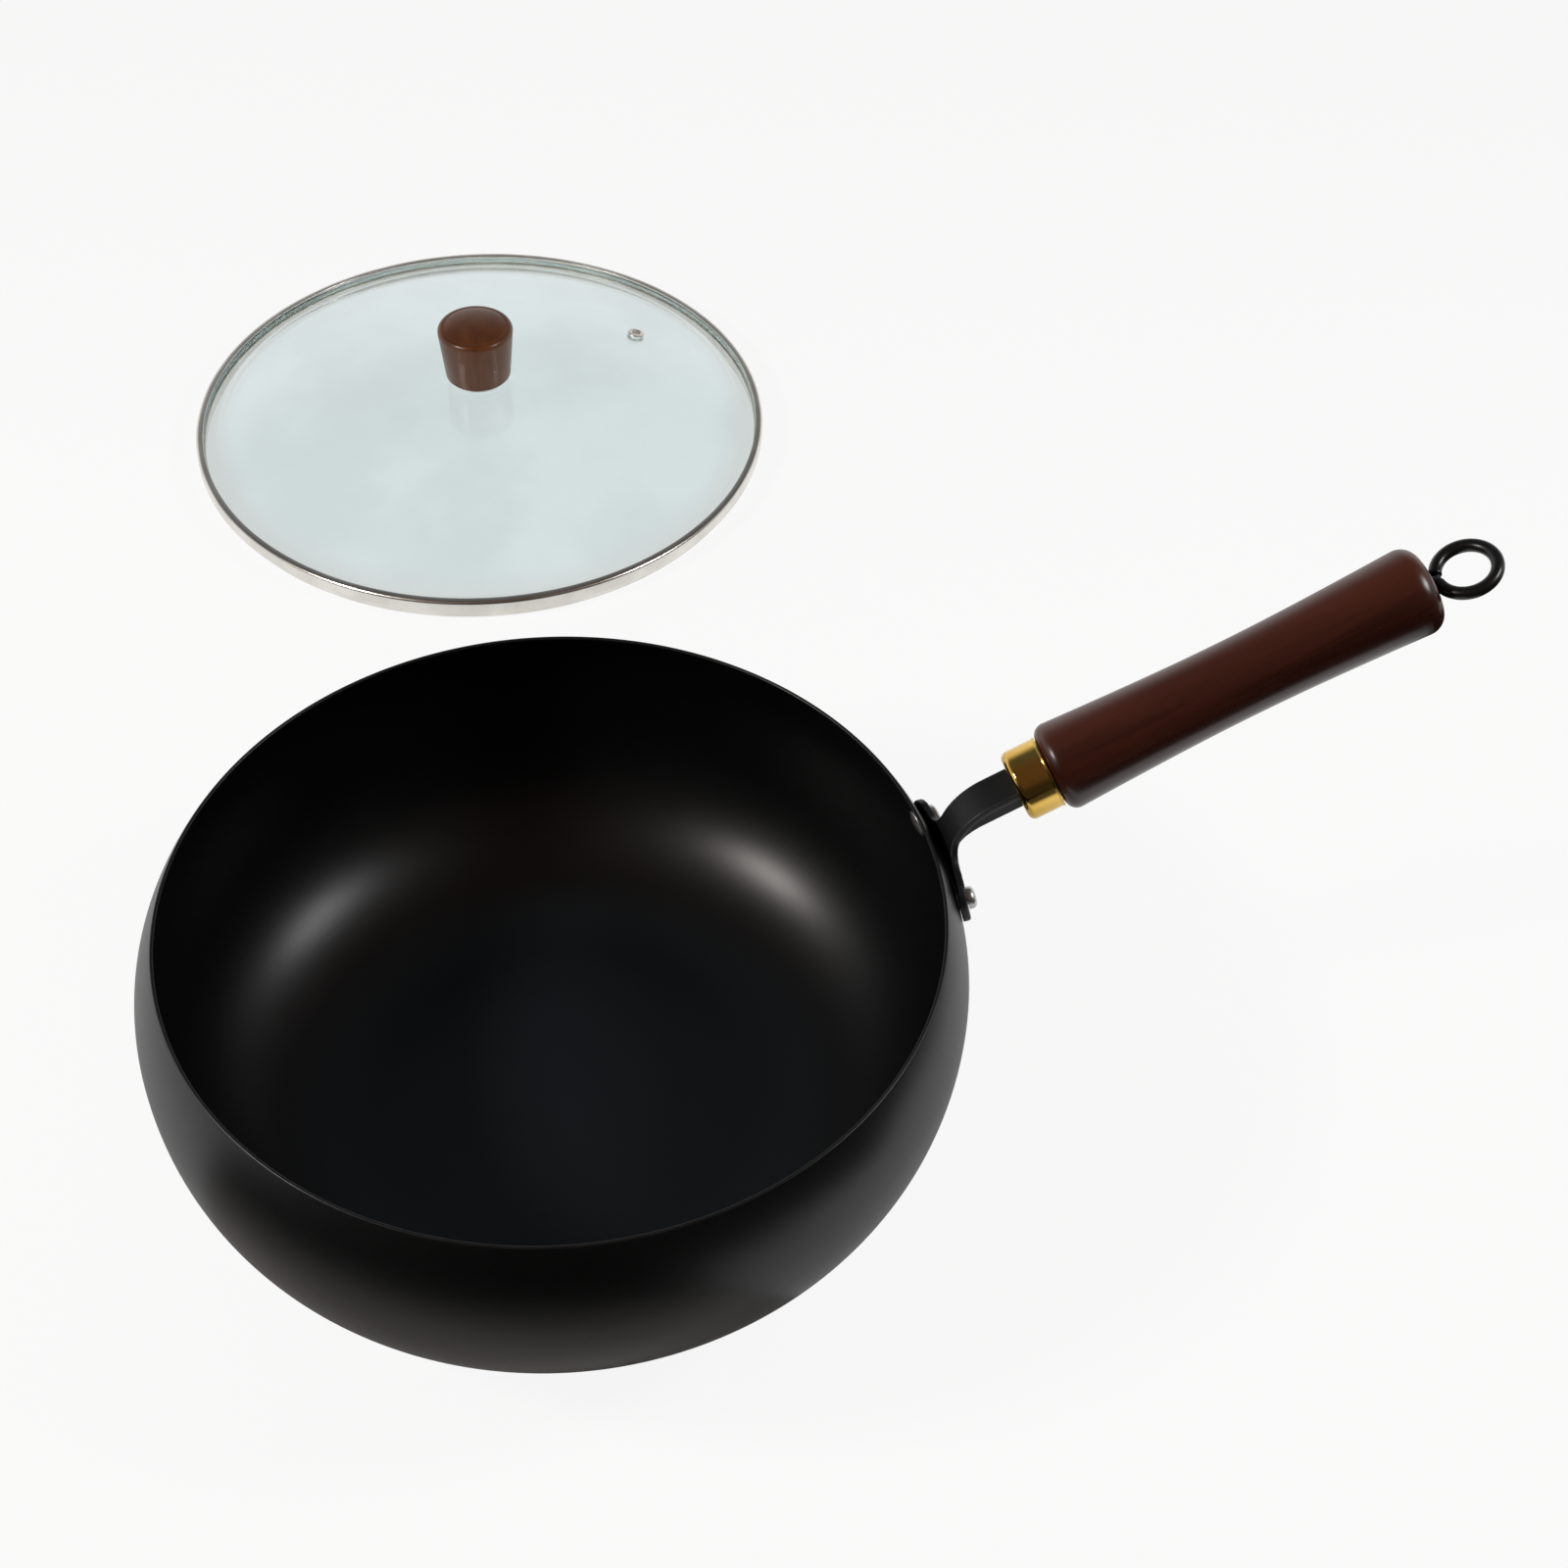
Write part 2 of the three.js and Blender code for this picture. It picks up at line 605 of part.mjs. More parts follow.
function ventEyelet() {
  const [bore, barrel, flange] = [eyeletBore / 2, eyeletBarrel / 2, eyeletFlange / 2];
  const under = -glassThickness - clearance;
  const path = new THREE.Path()
    .moveTo(bore, under - eyeletSheet)
    .lineTo(flange, under - eyeletSheet)
    .lineTo(flange, under)
    .lineTo(barrel, under)
    .lineTo(barrel, clearance)
    .lineTo(flange, clearance)
    .quadraticCurveTo(flange, clearance + eyeletSheet, flange - eyeletSheet, clearance + eyeletSheet)
    .lineTo(bore + eyeletSheet, clearance + eyeletSheet)
    .quadraticCurveTo(bore, clearance + eyeletSheet, bore, clearance);
  return revolvePath(path, smallFacets, 2);
}

function placed(mesh, matrix) {
  mesh.applyMatrix4(matrix);
  return mesh;
}

function panAndBracket() {
  const group = new THREE.Group();
  group.add(
    piece('pan_body', panBody(), blackIron),
    piece('handle_bracket', handleBracket(), blackEnamel),
    placed(piece('rivet_left', rivet(), aluminium), rivetPlace(1)),
    placed(piece('rivet_right', rivet(), aluminium), rivetPlace(-1)));
  return group;
}

// The handle's own axes: +Z along the grip, away from the pan, and +Y as in the pan.
function handle() {
  const group = new THREE.Group();
  group.position.set(axisFoot.x, 0, axisFoot.y);
  group.rotation.y = Math.PI / 2 - handleTilt;
  group.add(
    piece('ferrule', ferrule(), brass),
    piece('stem_nut', stemNut(), plainSteel),
    piece('handle_grip', handleGrip(), lacqueredWood),
    piece('hanging_eye', hangingEye(), blackEnamel));
  return group;
}

function lid() {
  const group = new THREE.Group();
  const away = bellyRadius + lidGap + bandOuter;
  group.position.set(away * Math.cos(lidBearing), away * Math.sin(lidBearing), 0);
  const insert = washer(screwBore, insertDiameter, knobBase, insertLength);
  const washerLow = screwWasherTop - screwWasherThickness;
  group.add(
    piece('lid_glass', lidGlass(), clearGlass),
    piece('lid_band', lidBand(), polishedSteel),
    piece('edge_gasket', edgeGasket(), silicone),
    piece('lid_knob', lidKnob(), knobWood),
    piece('knob_insert', insert, brass),
    piece('knob_seat', washer(screwBore, knobSeatDiameter, knobSeatLow, knobSeatThickness), silicone),
    piece('screw_gasket', screwGasket(), silicone),
    piece('screw_washer', washer(screwBore, screwWasherDiameter, washerLow, screwWasherThickness), plainSteel),
    piece('knob_screw', knobScrew(), plainSteel),
    placed(piece('vent_eyelet', ventEyelet(), polishedSteel), ventPlace()));
  return group;
}

const fryingPan = new THREE.Group();
fryingPan.add(panAndBracket(), handle(), lid());

export default fryingPan;
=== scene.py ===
from math import acos, asin, atan2, cos, dist, pi, radians, sin, sqrt, tan

import bmesh
import bpy
import numpy as np
from mathutils import Matrix, Vector


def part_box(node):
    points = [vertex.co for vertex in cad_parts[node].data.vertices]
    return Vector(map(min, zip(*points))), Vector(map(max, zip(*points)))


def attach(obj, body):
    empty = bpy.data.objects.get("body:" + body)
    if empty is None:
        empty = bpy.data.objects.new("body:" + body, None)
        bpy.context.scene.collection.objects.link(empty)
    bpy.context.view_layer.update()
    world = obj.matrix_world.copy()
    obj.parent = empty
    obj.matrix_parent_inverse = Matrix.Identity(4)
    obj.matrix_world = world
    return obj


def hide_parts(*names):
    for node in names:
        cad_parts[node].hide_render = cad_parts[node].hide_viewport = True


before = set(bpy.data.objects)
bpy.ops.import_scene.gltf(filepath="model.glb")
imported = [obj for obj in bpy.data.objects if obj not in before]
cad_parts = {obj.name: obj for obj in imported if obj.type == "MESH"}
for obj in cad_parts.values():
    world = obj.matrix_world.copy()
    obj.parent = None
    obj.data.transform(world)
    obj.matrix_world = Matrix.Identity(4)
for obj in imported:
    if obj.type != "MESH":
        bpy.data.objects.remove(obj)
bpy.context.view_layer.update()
mm = 0.001  # outlines below are drawn in millimetres
tiny = 1e-6  # points of an outline closer than this are one
creaseAngle = radians(40)  # edges that turn further than this stay sharp
print("frame loaded:", len(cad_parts), "nodes")


# Outlines are lists of (radius, height) points

def arc(centre, radius, start, end, steps):
    turn = (end - start) / steps
    return [(centre[0] + radius * cos(start + turn * i), centre[1] + radius * sin(start + turn * i))
            for i in range(steps + 1)]


def bezier(a, b, c, d, steps):
    points = []
    for i in range(steps + 1):
        t = i / steps
        weights = ((1 - t) ** 3, 3 * (1 - t) ** 2 * t, 3 * (1 - t) * t * t, t ** 3)
        points.append(tuple(sum(w * p[k] for w, p in zip(weights, (a, b, c, d))) for k in (0, 1)))
    return points


def shifted(points, distance):  # moves an outline sideways, to the left of its direction
    moved = []
    for i, (x, z) in enumerate(points):
        before, after = points[max(i - 1, 0)], points[min(i + 1, len(points) - 1)]
        along = Vector((after[0] - before[0], after[1] - before[1])).normalized()
        moved.append((x - along.y * distance, z + along.x * distance))
    return moved


def rounded(corners, steps, loop=False):  # each corner is (radius, height) or (radius, height, fillet)
    points = []
    last = len(corners) - 1
    for i, corner in enumerate(corners):
        here = Vector(corner[:2])
        fillet = corner[2] if len(corner) > 2 else 0
        if not fillet or (not loop and i in (0, last)):
            points.append(tuple(here))
            continue
        back = (Vector(corners[i - 1][:2]) - here).normalized()
        ahead = (Vector(corners[(i + 1) % len(corners)][:2]) - here).normalized()
        half = back.angle(ahead) / 2
        middle = here + (back + ahead).normalized() * (fillet / sin(half))
        first = here + back * (fillet / tan(half)) - middle
        final = here + ahead * (fillet / tan(half)) - middle
        start = atan2(first.y, first.x)
        turn = (atan2(final.y, final.x) - start + pi) % (2 * pi) - pi
        points += arc(middle, fillet, start, start + turn, steps)
    return points[:1] + [b for a, b in zip(points, points[1:]) if dist(a, b) > tiny]


# Meshes from rings of points

def markEdges(mesh, sharpest=900, shortest=1e-14):  # stores how far each point sticks out, for worn edges and painted edge highlights
    count = len(mesh.vertices)
    places, normals = np.zeros(count * 3), np.zeros(count * 3)
    mesh.vertices.foreach_get("co", places)
    mesh.vertex_normals.foreach_get("vector", normals)
    places, normals = places.reshape(-1, 3), normals.reshape(-1, 3)
    ends = np.zeros(len(mesh.edges) * 2, np.int32)
    mesh.edges.foreach_get("vertices", ends)
    a, b = ends.reshape(-1, 2).T
    span = places[b] - places[a]
    reach = np.maximum((span ** 2).sum(1), shortest)
    bend, links = np.zeros(count), np.zeros(count)
    np.add.at(bend, a, -(normals[a] * span).sum(1) / reach)
    np.add.at(bend, b, (normals[b] * span).sum(1) / reach)
    np.add.at(links, a, 1)
    np.add.at(links, b, 1)
    share = np.clip(bend / np.maximum(links, 1) / sharpest, 0, 1)
    mesh.attributes.new("edgeShare", "FLOAT", "POINT").data.foreach_set("value", share.astype(np.float32))


def toMesh(shape, name):
    bmesh.ops.recalc_face_normals(shape, faces=shape.faces)
    mesh = bpy.data.meshes.new(name)
    shape.to_mesh(mesh)
    shape.free()
    return mesh


def finishMesh(shape, name):
    mesh = toMesh(shape, name)
    mesh.shade_smooth()
    mesh.set_sharp_from_angle(angle=creaseAngle)
    markEdges(mesh)
    return mesh


def addSkin(shape, rings, loop=False):  # a ring of one point closes the end
    rows = [[shape.verts.new(Vector(p) * mm) for p in ring] for ring in rings]
    sides = max(len(row) for row in rows)
    rows = [row * sides if len(row) == 1 else row for row in rows]
    for low, high in zip(rows, rows[1:] + (rows[:1] if loop else [])):
        for j in range(sides):
            k = (j + 1) % sides
            face = list(dict.fromkeys((low[j], low[k], high[k], high[j])))
            if len(face) > 2:
                shape.faces.new(face)


def addPlate(shape, outline, low, high):  # an upright plate, its outline drawn as (x, z)
    near, far = ([shape.verts.new(Vector((x, y, z)) * mm) for x, z in outline] for y in (low, high))
    shape.faces.new(near)
    shape.faces.new(far)
    for i in range(len(outline)):
        shape.faces.new((near[i - 1], near[i], far[i], far[i - 1]))


def skinned(name, rings, loop=False):
    shape = bmesh.new()
    addSkin(shape, rings, loop)
    return finishMesh(shape, name)


def circle(radius, height, sides):
    if radius < tiny:
        return [(0, 0, height)]
    return [(radius * cos(2 * pi * j / sides), radius * sin(2 * pi * j / sides), height)
            for j in range(sides)]


def turned(name, outline, sides, loop=False):  # spins an outline round the local Z axis
    return skinned(name, [circle(radius, height, sides) for radius, height in outline], loop)


def swept(name, path, radius, sides, crown, domeSteps=5):  # a wire, flat at its start and domed at its end
    last = len(path) - 1
    along = [(path[min(i + 1, last)] - path[max(i - 1, 0)]).normalized() for i in range(last + 1)]
    across = along[0].orthogonal().normalized()
    rings = [[path[0]]]
    stations = [(p, d, radius) for p, d in zip(path, along)]
    for i in range(1, domeSteps):
        lean = pi / 2 * i / domeSteps
        stations.append((path[-1] + along[-1] * crown * sin(lean), along[-1], radius * cos(lean)))
    for place, direction, width in stations:
        across = (across - direction * across.dot(direction)).normalized()
        side = direction.cross(across)
        rings.append([place + (across * cos(2 * pi * j / sides) + side * sin(2 * pi * j / sides)) * width
                      for j in range(sides)])
    rings.append([path[-1] + along[-1] * crown])
    return skinned(name, rings)


def addObject(name, data):
    added = bpy.data.objects.new(name, data)
    bpy.context.scene.collection.objects.link(added)
    return added


def applied(helper):  # the mesh of an object with its modifiers carried out
    return bpy.data.meshes.new_from_object(helper.evaluated_get(bpy.context.evaluated_depsgraph_get()))


def makePiece(name, mesh, finish, body, nodes, place=Matrix()):
    piece = addObject(name, mesh)
    piece.matrix_world = place
    mesh.materials.clear()
    mesh.materials.append(finish)
    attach(piece, body)
    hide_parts(*nodes)


# Shader parts

def addNode(tree, kind, values=None, **settings):  # a value that is a socket is linked, any other is set
    node = tree.nodes.new("ShaderNode" + kind)
    for key, value in settings.items():
        setattr(node, key, value)
    for key, value in (values or {}).items():
        if isinstance(value, bpy.types.NodeSocket):
            tree.links.new(value, node.inputs[key])
        else:
            node.inputs[key].default_value = value
    return node


def useGroup(tree, group, values):
    return addNode(tree, "Group", values, node_tree=group).outputs


def sums(tree, operation, a, b=0.0, clamp=False):
    return addNode(tree, "Math", {0: a, 1: b}, operation=operation, use_clamp=clamp).outputs[0]


def blendColours(tree, factor, a, b):
    return addNode(tree, "Mix", {0: factor, 6: a, 7: b}, data_type="RGBA").outputs[2]


def spread(tree, value, fromLow, fromHigh, toLow, toHigh):
    sockets = {0: value, 1: fromLow, 2: fromHigh, 3: toLow, 4: toHigh}
    return addNode(tree, "MapRange", sockets, interpolation_type="SMOOTHSTEP").outputs[0]


def ownPlace(tree, stretch=(1, 1, 1)):  # where a point lies in its piece's own axes
    place = addNode(tree, "TexCoord").outputs["Object"]
    return addNode(tree, "Mapping", {"Vector": place, "Scale": stretch}).outputs[0]


def ownParts(tree):  # the same as X, Y and Z
    return addNode(tree, "SeparateXYZ", {0: addNode(tree, "TexCoord").outputs["Object"]}).outputs


def fromAxis(tree, parts):  # distance from the local Z axis
    squares = sums(tree, "ADD", sums(tree, "POWER", parts[0], 2.0), sums(tree, "POWER", parts[1], 2.0))
    return sums(tree, "SQRT", squares)


def speckle(tree, place, scale, detail=2.0, distortion=0.0):
    sockets = {"Vector": place, "Scale": scale, "Detail": detail, "Distortion": distortion}
    return addNode(tree, "TexNoise", sockets).outputs[0]


def newGroup(name, inputs, outputs):
    group = bpy.data.node_groups.new(name, "ShaderNodeTree")
    for label, value in inputs.items():
        kind = "NodeSocketColor" if isinstance(value, tuple) else "NodeSocketFloat"
        group.interface.new_socket(name=label, in_out="INPUT", socket_type=kind).default_value = value
    for label, kind in outputs.items():
        group.interface.new_socket(name=label, in_out="OUTPUT", socket_type="NodeSocket" + kind)
    return group, group.nodes.new("NodeGroupInput").outputs, group.nodes.new("NodeGroupOutput").inputs


skinMix = {"cloudScale": 14.0, "cloudDetail": 4.0, "grainShare": 0.4, "middle": 0.7}


def makeFineSkin():  # the slight unevenness of a dipped, sprayed or pressed surface
    inputs = {"Grain": 900.0, "Roughness": 0.4, "Unevenness": 0.06}
    outputs = {"Roughness": "Float", "Height": "Float", "Cloud": "Float"}
    group, given, made = newGroup("fineSkin", inputs, outputs)
    place = ownPlace(group)
    grain = speckle(group, place, given["Grain"])
    cloud = speckle(group, place, skinMix["cloudScale"], skinMix["cloudDetail"])
    mixed = sums(group, "ADD", sums(group, "MULTIPLY", grain, skinMix["grainShare"]), cloud)
    offset = sums(group, "SUBTRACT", mixed, skinMix["middle"])
    rough = sums(group, "ADD", given["Roughness"], sums(group, "MULTIPLY", offset, given["Unevenness"]), True)
    group.links.new(rough, made["Roughness"])
    group.links.new(grain, made["Height"])
    group.links.new(cloud, made["Cloud"])
    return group


rubMix = {"breakScale": 160.0, "breakDetail": 4.0, "breakEnds": (0.3, 0.65), "least": 0.45}


def makeEdgeWearAndSheen():  # paler edges where hands and shelves have worn the coat; on the bracket also a painted edge highlight
    inputs = {"Color": (0.0, 0.0, 0.0, 1.0), "Pale Edge Color": (0.2, 0.2, 0.2, 1.0), "Roughness": 0.4,
              "Rubbed Roughness": 0.3, "Amount": 1.0}
    group, given, made = newGroup("edgeWearAndSheen", inputs, {"Color": "Color", "Roughness": "Float"})
    share = addNode(group, "Attribute", attribute_name="edgeShare").outputs["Fac"]
    patches = speckle(group, ownPlace(group), rubMix["breakScale"], rubMix["breakDetail"])
    breaks = spread(group, patches, *rubMix["breakEnds"], rubMix["least"], 1.0)
    worn = sums(group, "MULTIPLY", sums(group, "MULTIPLY", share, breaks), given["Amount"], True)
    group.links.new(blendColours(group, worn, given["Color"], given["Pale Edge Color"]), made["Color"])
    drop = sums(group, "SUBTRACT", given["Rubbed Roughness"], given["Roughness"])
    rough = sums(group, "ADD", given["Roughness"], sums(group, "MULTIPLY", drop, worn))
    group.links.new(rough, made["Roughness"])
    return group


woodMix = {"bandStretch": (1, 1, 0.09), "bandDetail": 4.0, "bandWave": 0.8, "bandShare": 0.7,
           "fibreStretch": (1, 1, 0.03), "fibreScale": 850.0, "fibreDetail": 3.0, "fibreShare": 0.13,
           "base": 0.085, "toneEnds": (0.25, 0.75), "poreEnds": (0.6, 0.75), "poreDepth": 0.15,
           "middle": 0.5, "dull": 0.22}


def makeWoodFigure():  # grain that runs along the local Z axis, and a painted paler side where light would fall
    inputs = {"Dark": (0.02, 0.006, 0.004, 1.0), "Light": (0.08, 0.025, 0.014, 1.0), "Bands": 60.0,
              "Polish": 0.35, "PaintedLitSide": 0.0}
    outputs = {"Color": "Color", "Roughness": "Float", "Height": "Float"}
    group, given, made = newGroup("woodFigure", inputs, outputs)
    bands = speckle(group, ownPlace(group, woodMix["bandStretch"]), given["Bands"], woodMix["bandDetail"],
                    woodMix["bandWave"])
    fibres = speckle(group, ownPlace(group, woodMix["fibreStretch"]), woodMix["fibreScale"],
                     woodMix["fibreDetail"])
    parts = ownParts(group)
    sideways = sums(group, "SUBTRACT", parts[1], parts[0])
    lean = sums(group, "MULTIPLY", sideways, given["PaintedLitSide"])  # painted light: paler towards the upper back side
    figure = sums(group, "ADD", sums(group, "MULTIPLY", bands, woodMix["bandShare"]),
                  sums(group, "MULTIPLY", fibres, woodMix["fibreShare"]))
    figure = sums(group, "ADD", figure, sums(group, "ADD", lean, woodMix["base"]))
    tone = spread(group, figure, *woodMix["toneEnds"], 0.0, 1.0)
    stained = blendColours(group, tone, given["Dark"], given["Light"])
    pores = spread(group, fibres, *woodMix["poreEnds"], 0.0, woodMix["poreDepth"])
    group.links.new(blendColours(group, pores, stained, given["Dark"]), made["Color"])
    uneven = sums(group, "MULTIPLY", sums(group, "SUBTRACT", figure, woodMix["middle"]), woodMix["dull"])
    group.links.new(sums(group, "ADD", given["Polish"], uneven), made["Roughness"])
    group.links.new(fibres, made["Height"])
    return group


spunMix = {"ringDetail": 2.0, "ringShare": 0.5, "markScale": 30.0, "markDetail": 5.0, "middle": 0.7}


def makeSpunRings():  # fine rings round the local Z axis, left by turning and polishing
    inputs = {"Spacing": 2600.0, "Roughness": 0.12, "Unevenness": 0.08}
    group, given, made = newGroup("spunRings", inputs, {"Roughness": "Float", "Height": "Float"})
    parts = ownParts(group)
    flat = addNode(group, "CombineXYZ", {0: fromAxis(group, parts), 1: parts[2]}).outputs[0]
    rings = speckle(group, flat, given["Spacing"], spunMix["ringDetail"])
    marks = speckle(group, ownPlace(group), spunMix["markScale"], spunMix["markDetail"])
    change = sums(group, "ADD", sums(group, "MULTIPLY", rings, spunMix["ringShare"]),
                  sums(group, "SUBTRACT", marks, spunMix["middle"]))
    rough = sums(group, "ADD", given["Roughness"], sums(group, "MULTIPLY", change, given["Unevenness"]), True)
    group.links.new(rough, made["Roughness"])
    group.links.new(rings, made["Height"])
    return group


fineSkin, edgeWearAndSheen = makeFineSkin(), makeEdgeWearAndSheen()
woodFigure, spunRings = makeWoodFigure(), makeSpunRings()
print("shared effects made:", len(bpy.data.node_groups))


def newFinish(name, constants):
    finish = bpy.data.materials.new(name)
    finish.use_nodes = True
    tree = finish.node_tree
    shader = tree.nodes["Principled BSDF"]
    for key, value in constants.items():
        shader.inputs[key].default_value = value
    return finish, tree, shader.inputs


def addBump(tree, inputs, height, strength, depth):
    values = {"Height": height, "Strength": strength, "Distance": depth * mm}
    tree.links.new(addNode(tree, "Bump", values).outputs[0], inputs["Normal"])


finishMix = {"cloudEnds": (0.35, 0.65), "metalScale": 60.0, "metalDetail": 4.0, "rubbedPolish": 0.8,
             "skinDepth": 0.05, "woodDepth": 0.04, "ringDepth": 0.02}


def addSkinGrain(tree, look):
    return useGroup(tree, fineSkin, {"Grain": look["grain"], "Roughness": look["roughness"],
                                     "Unevenness": look["uneven"]})


def cloudyTone(tree, cloud, look):  # drifts between a finish's dark and light tones
    share = spread(tree, cloud, *finishMix["cloudEnds"], 0.0, 1.0)
    return blendColours(tree, share, look["dark"], look["light"])


def lightenEdges(tree, inputs, colour, roughness, rubbedRoughness, look):
    edge = useGroup(tree, edgeWearAndSheen, {"Color": colour, "Pale Edge Color": look["paleEdge"],
                                       "Roughness": roughness, "Rubbed Roughness": rubbedRoughness,
                                       "Amount": look["paleEdgeShare"]})
    tree.links.new(edge["Color"], inputs["Base Color"])
    tree.links.new(edge["Roughness"], inputs["Roughness"])


def paintedFinish(name, look):  # dark coats on iron and steel, with paler worn edges that on the bracket are also a painted edge highlight
    finish, tree, inputs = newFinish(name, {"Metallic": 0.0, "Specular IOR Level": look["shine"]})
    skin = addSkinGrain(tree, look)
    ground = cloudyTone(tree, skin["Cloud"], look)
    if "flat" in look:  # the flat of the bowl is painted a little lighter and bluer: a painted sheen, as of soft light from above and behind
        low, high = look["flatTop"]
        flatSheen = spread(tree, ownParts(tree)[2], low * mm, high * mm, 1.0, 0.0)
        ground = blendColours(tree, flatSheen, ground, look["flat"])
    lightenEdges(tree, inputs, ground, skin["Roughness"], look["roughness"] * finishMix["rubbedPolish"], look)
    addBump(tree, inputs, skin["Height"], look["bump"], finishMix["skinDepth"])
    return finish


def woodFinish(name, look):
    finish, tree, inputs = newFinish(name, {"Specular IOR Level": look["shine"], "Coat Weight": look["coat"],
                                            "Coat Roughness": look["coatRoughness"]})
    grain = useGroup(tree, woodFigure, {"Dark": look["dark"], "Light": look["light"], "Bands": look["bands"],
                                        "Polish": look["polish"], "PaintedLitSide": look["lean"]})
    lightenEdges(tree, inputs, grain["Color"], grain["Roughness"], look["polish"], look)
    addBump(tree, inputs, grain["Height"], look["bump"], finishMix["woodDepth"])
    return finish


def metalFinish(name, look):
    finish, tree, inputs = newFinish(name, {"Metallic": 1.0})
    rings = useGroup(tree, spunRings, {"Spacing": look["spacing"], "Roughness": look["roughness"],
                                       "Unevenness": look["uneven"]})
    cloud = speckle(tree, ownPlace(tree), finishMix["metalScale"], finishMix["metalDetail"])
    tree.links.new(cloudyTone(tree, cloud, look), inputs["Base Color"])
    tree.links.new(rings["Roughness"], inputs["Roughness"])
    addBump(tree, inputs, rings["Height"], look["bump"], finishMix["ringDepth"])
    return finish


def softFinish(name, look):  # translucent white silicone
    finish, tree, inputs = newFinish(name, {"Subsurface Weight": look["depth"],
                                            "Specular IOR Level": look["shine"]})
    skin = addSkinGrain(tree, look)
    tone = blendColours(tree, skin["Cloud"], look["dark"], look["light"])
    tree.links.new(tone, inputs["Base Color"])
    tree.links.new(skin["Roughness"], inputs["Roughness"])
    addBump(tree, inputs, skin["Height"], look["bump"], finishMix["skinDepth"])
    return finish


def glassFinish(name, look):  # clear glass that lets the lamps through, a little cloudy: faint smudging and painted soft reflections
    finish, tree, inputs = newFinish(name, {"Transmission Weight": 1.0, "IOR": look["ior"],
                                            "Specular IOR Level": look["shine"]})
    skin = addSkinGrain(tree, look)
    away = fromAxis(tree, ownParts(tree))
    rim = spread(tree, away, look["clearTo"] * mm, look["edgeAt"] * mm, 0.0, 1.0)
    tint = blendColours(tree, rim, cloudyTone(tree, skin["Cloud"], look), look["edge"])
    tree.links.new(tint, inputs["Base Color"])
    tree.links.new(skin["Roughness"], inputs["Roughness"])
    lamp = addNode(tree, "BsdfTransparent", {"Color": look["shadow"]}).outputs[0]
    glass, output = tree.nodes["Principled BSDF"].outputs[0], tree.nodes["Material Output"].inputs[0]
    passes = addNode(tree, "LightPath").outputs["Is Shadow Ray"]
    tree.links.new(addNode(tree, "MixShader", {0: passes, 1: glass, 2: lamp}).outputs[0], output)
    return finish


# flat and flatTop paint the bowl's flat lighter and bluer: a painted sheen
ironLook = {"dark": (0.0026, 0.0028, 0.003, 1), "light": (0.0036, 0.0039, 0.0042, 1),
            "paleEdge": (0.05, 0.05, 0.05, 1), "flat": (0.008, 0.0112, 0.014, 1), "flatTop": (1.8, 9.0),
            "shine": 0.4, "roughness": 0.345, "uneven": 0.05, "grain": 700.0, "bump": 0.04, "paleEdgeShare": 0.4}
# the bracket's pale edges are partly worn metal, partly a painted edge highlight
bracketLook = {"dark": (0.0075, 0.0082, 0.009, 1), "light": (0.011, 0.012, 0.0132, 1),
               "paleEdge": (0.12, 0.125, 0.13, 1), "shine": 0.28, "roughness": 0.44, "uneven": 0.08,
               "grain": 1100.0, "bump": 0.06, "paleEdgeShare": 0.9}
wireLook = {"dark": (0.005, 0.005, 0.005, 1), "light": (0.008, 0.008, 0.0075, 1),
            "paleEdge": (0.04, 0.04, 0.04, 1), "shine": 0.45, "roughness": 0.28, "uneven": 0.08,
            "grain": 900.0, "bump": 0.05, "paleEdgeShare": 0.0}
# lean paints the grip paler on its upper back side: painted light from above and behind
gripLook = {"dark": (0.026, 0.0046, 0.0019, 1), "light": (0.085, 0.0185, 0.008, 1),
            "paleEdge": (0.06, 0.02, 0.012, 1), "bands": 70.0, "polish": 0.3, "shine": 0.55, "coat": 0.0,
            "coatRoughness": 0.28, "bump": 0.08, "paleEdgeShare": 0.3, "lean": 9.0}
knobLook = {"dark": (0.09, 0.024, 0.005, 1), "light": (0.18, 0.06, 0.017, 1),
            "paleEdge": (0.2, 0.08, 0.04, 1), "bands": 60.0, "polish": 0.36, "shine": 0.35, "coat": 0.25,
            "coatRoughness": 0.16, "bump": 0.06, "paleEdgeShare": 0.3, "lean": 0.0}
brassLook = {"dark": (0.74, 0.46, 0.10, 1), "light": (0.82, 0.54, 0.14, 1), "roughness": 0.09, "uneven": 0.06,
             "spacing": 2200.0, "bump": 0.05}
bandLook = {"dark": (0.70, 0.675, 0.63, 1), "light": (0.80, 0.775, 0.73, 1), "roughness": 0.25,
            "uneven": 0.08, "spacing": 2600.0, "bump": 0.04}
rivetLook = {"dark": (0.56, 0.56, 0.56, 1), "light": (0.68, 0.68, 0.68, 1), "roughness": 0.36, "uneven": 0.1,
             "spacing": 1800.0, "bump": 0.06}
steelLook = {"dark": (0.42, 0.42, 0.43, 1), "light": (0.56, 0.56, 0.57, 1), "roughness": 0.3, "uneven": 0.12,
             "spacing": 1800.0, "bump": 0.08}
siliconeLook = {"dark": (0.62, 0.63, 0.60, 1), "light": (0.74, 0.75, 0.72, 1), "roughness": 0.5,
                "uneven": 0.1, "grain": 1200.0, "bump": 0.1, "depth": 0.2, "shine": 0.4}
# the glass tint drifts between dark and light: faint smudging, partly painted soft reflections
glassLook = {"dark": (0.65, 0.723, 0.73, 1), "light": (0.697, 0.776, 0.787, 1), "edge": (0.68, 0.72, 0.71, 1),
             "shadow": (0.86, 0.92, 0.91, 1), "clearTo": 128, "edgeAt": 146, "ior": 1.5, "shine": 0.2,
             "roughness": 0.02, "uneven": 0.02, "grain": 200.0}

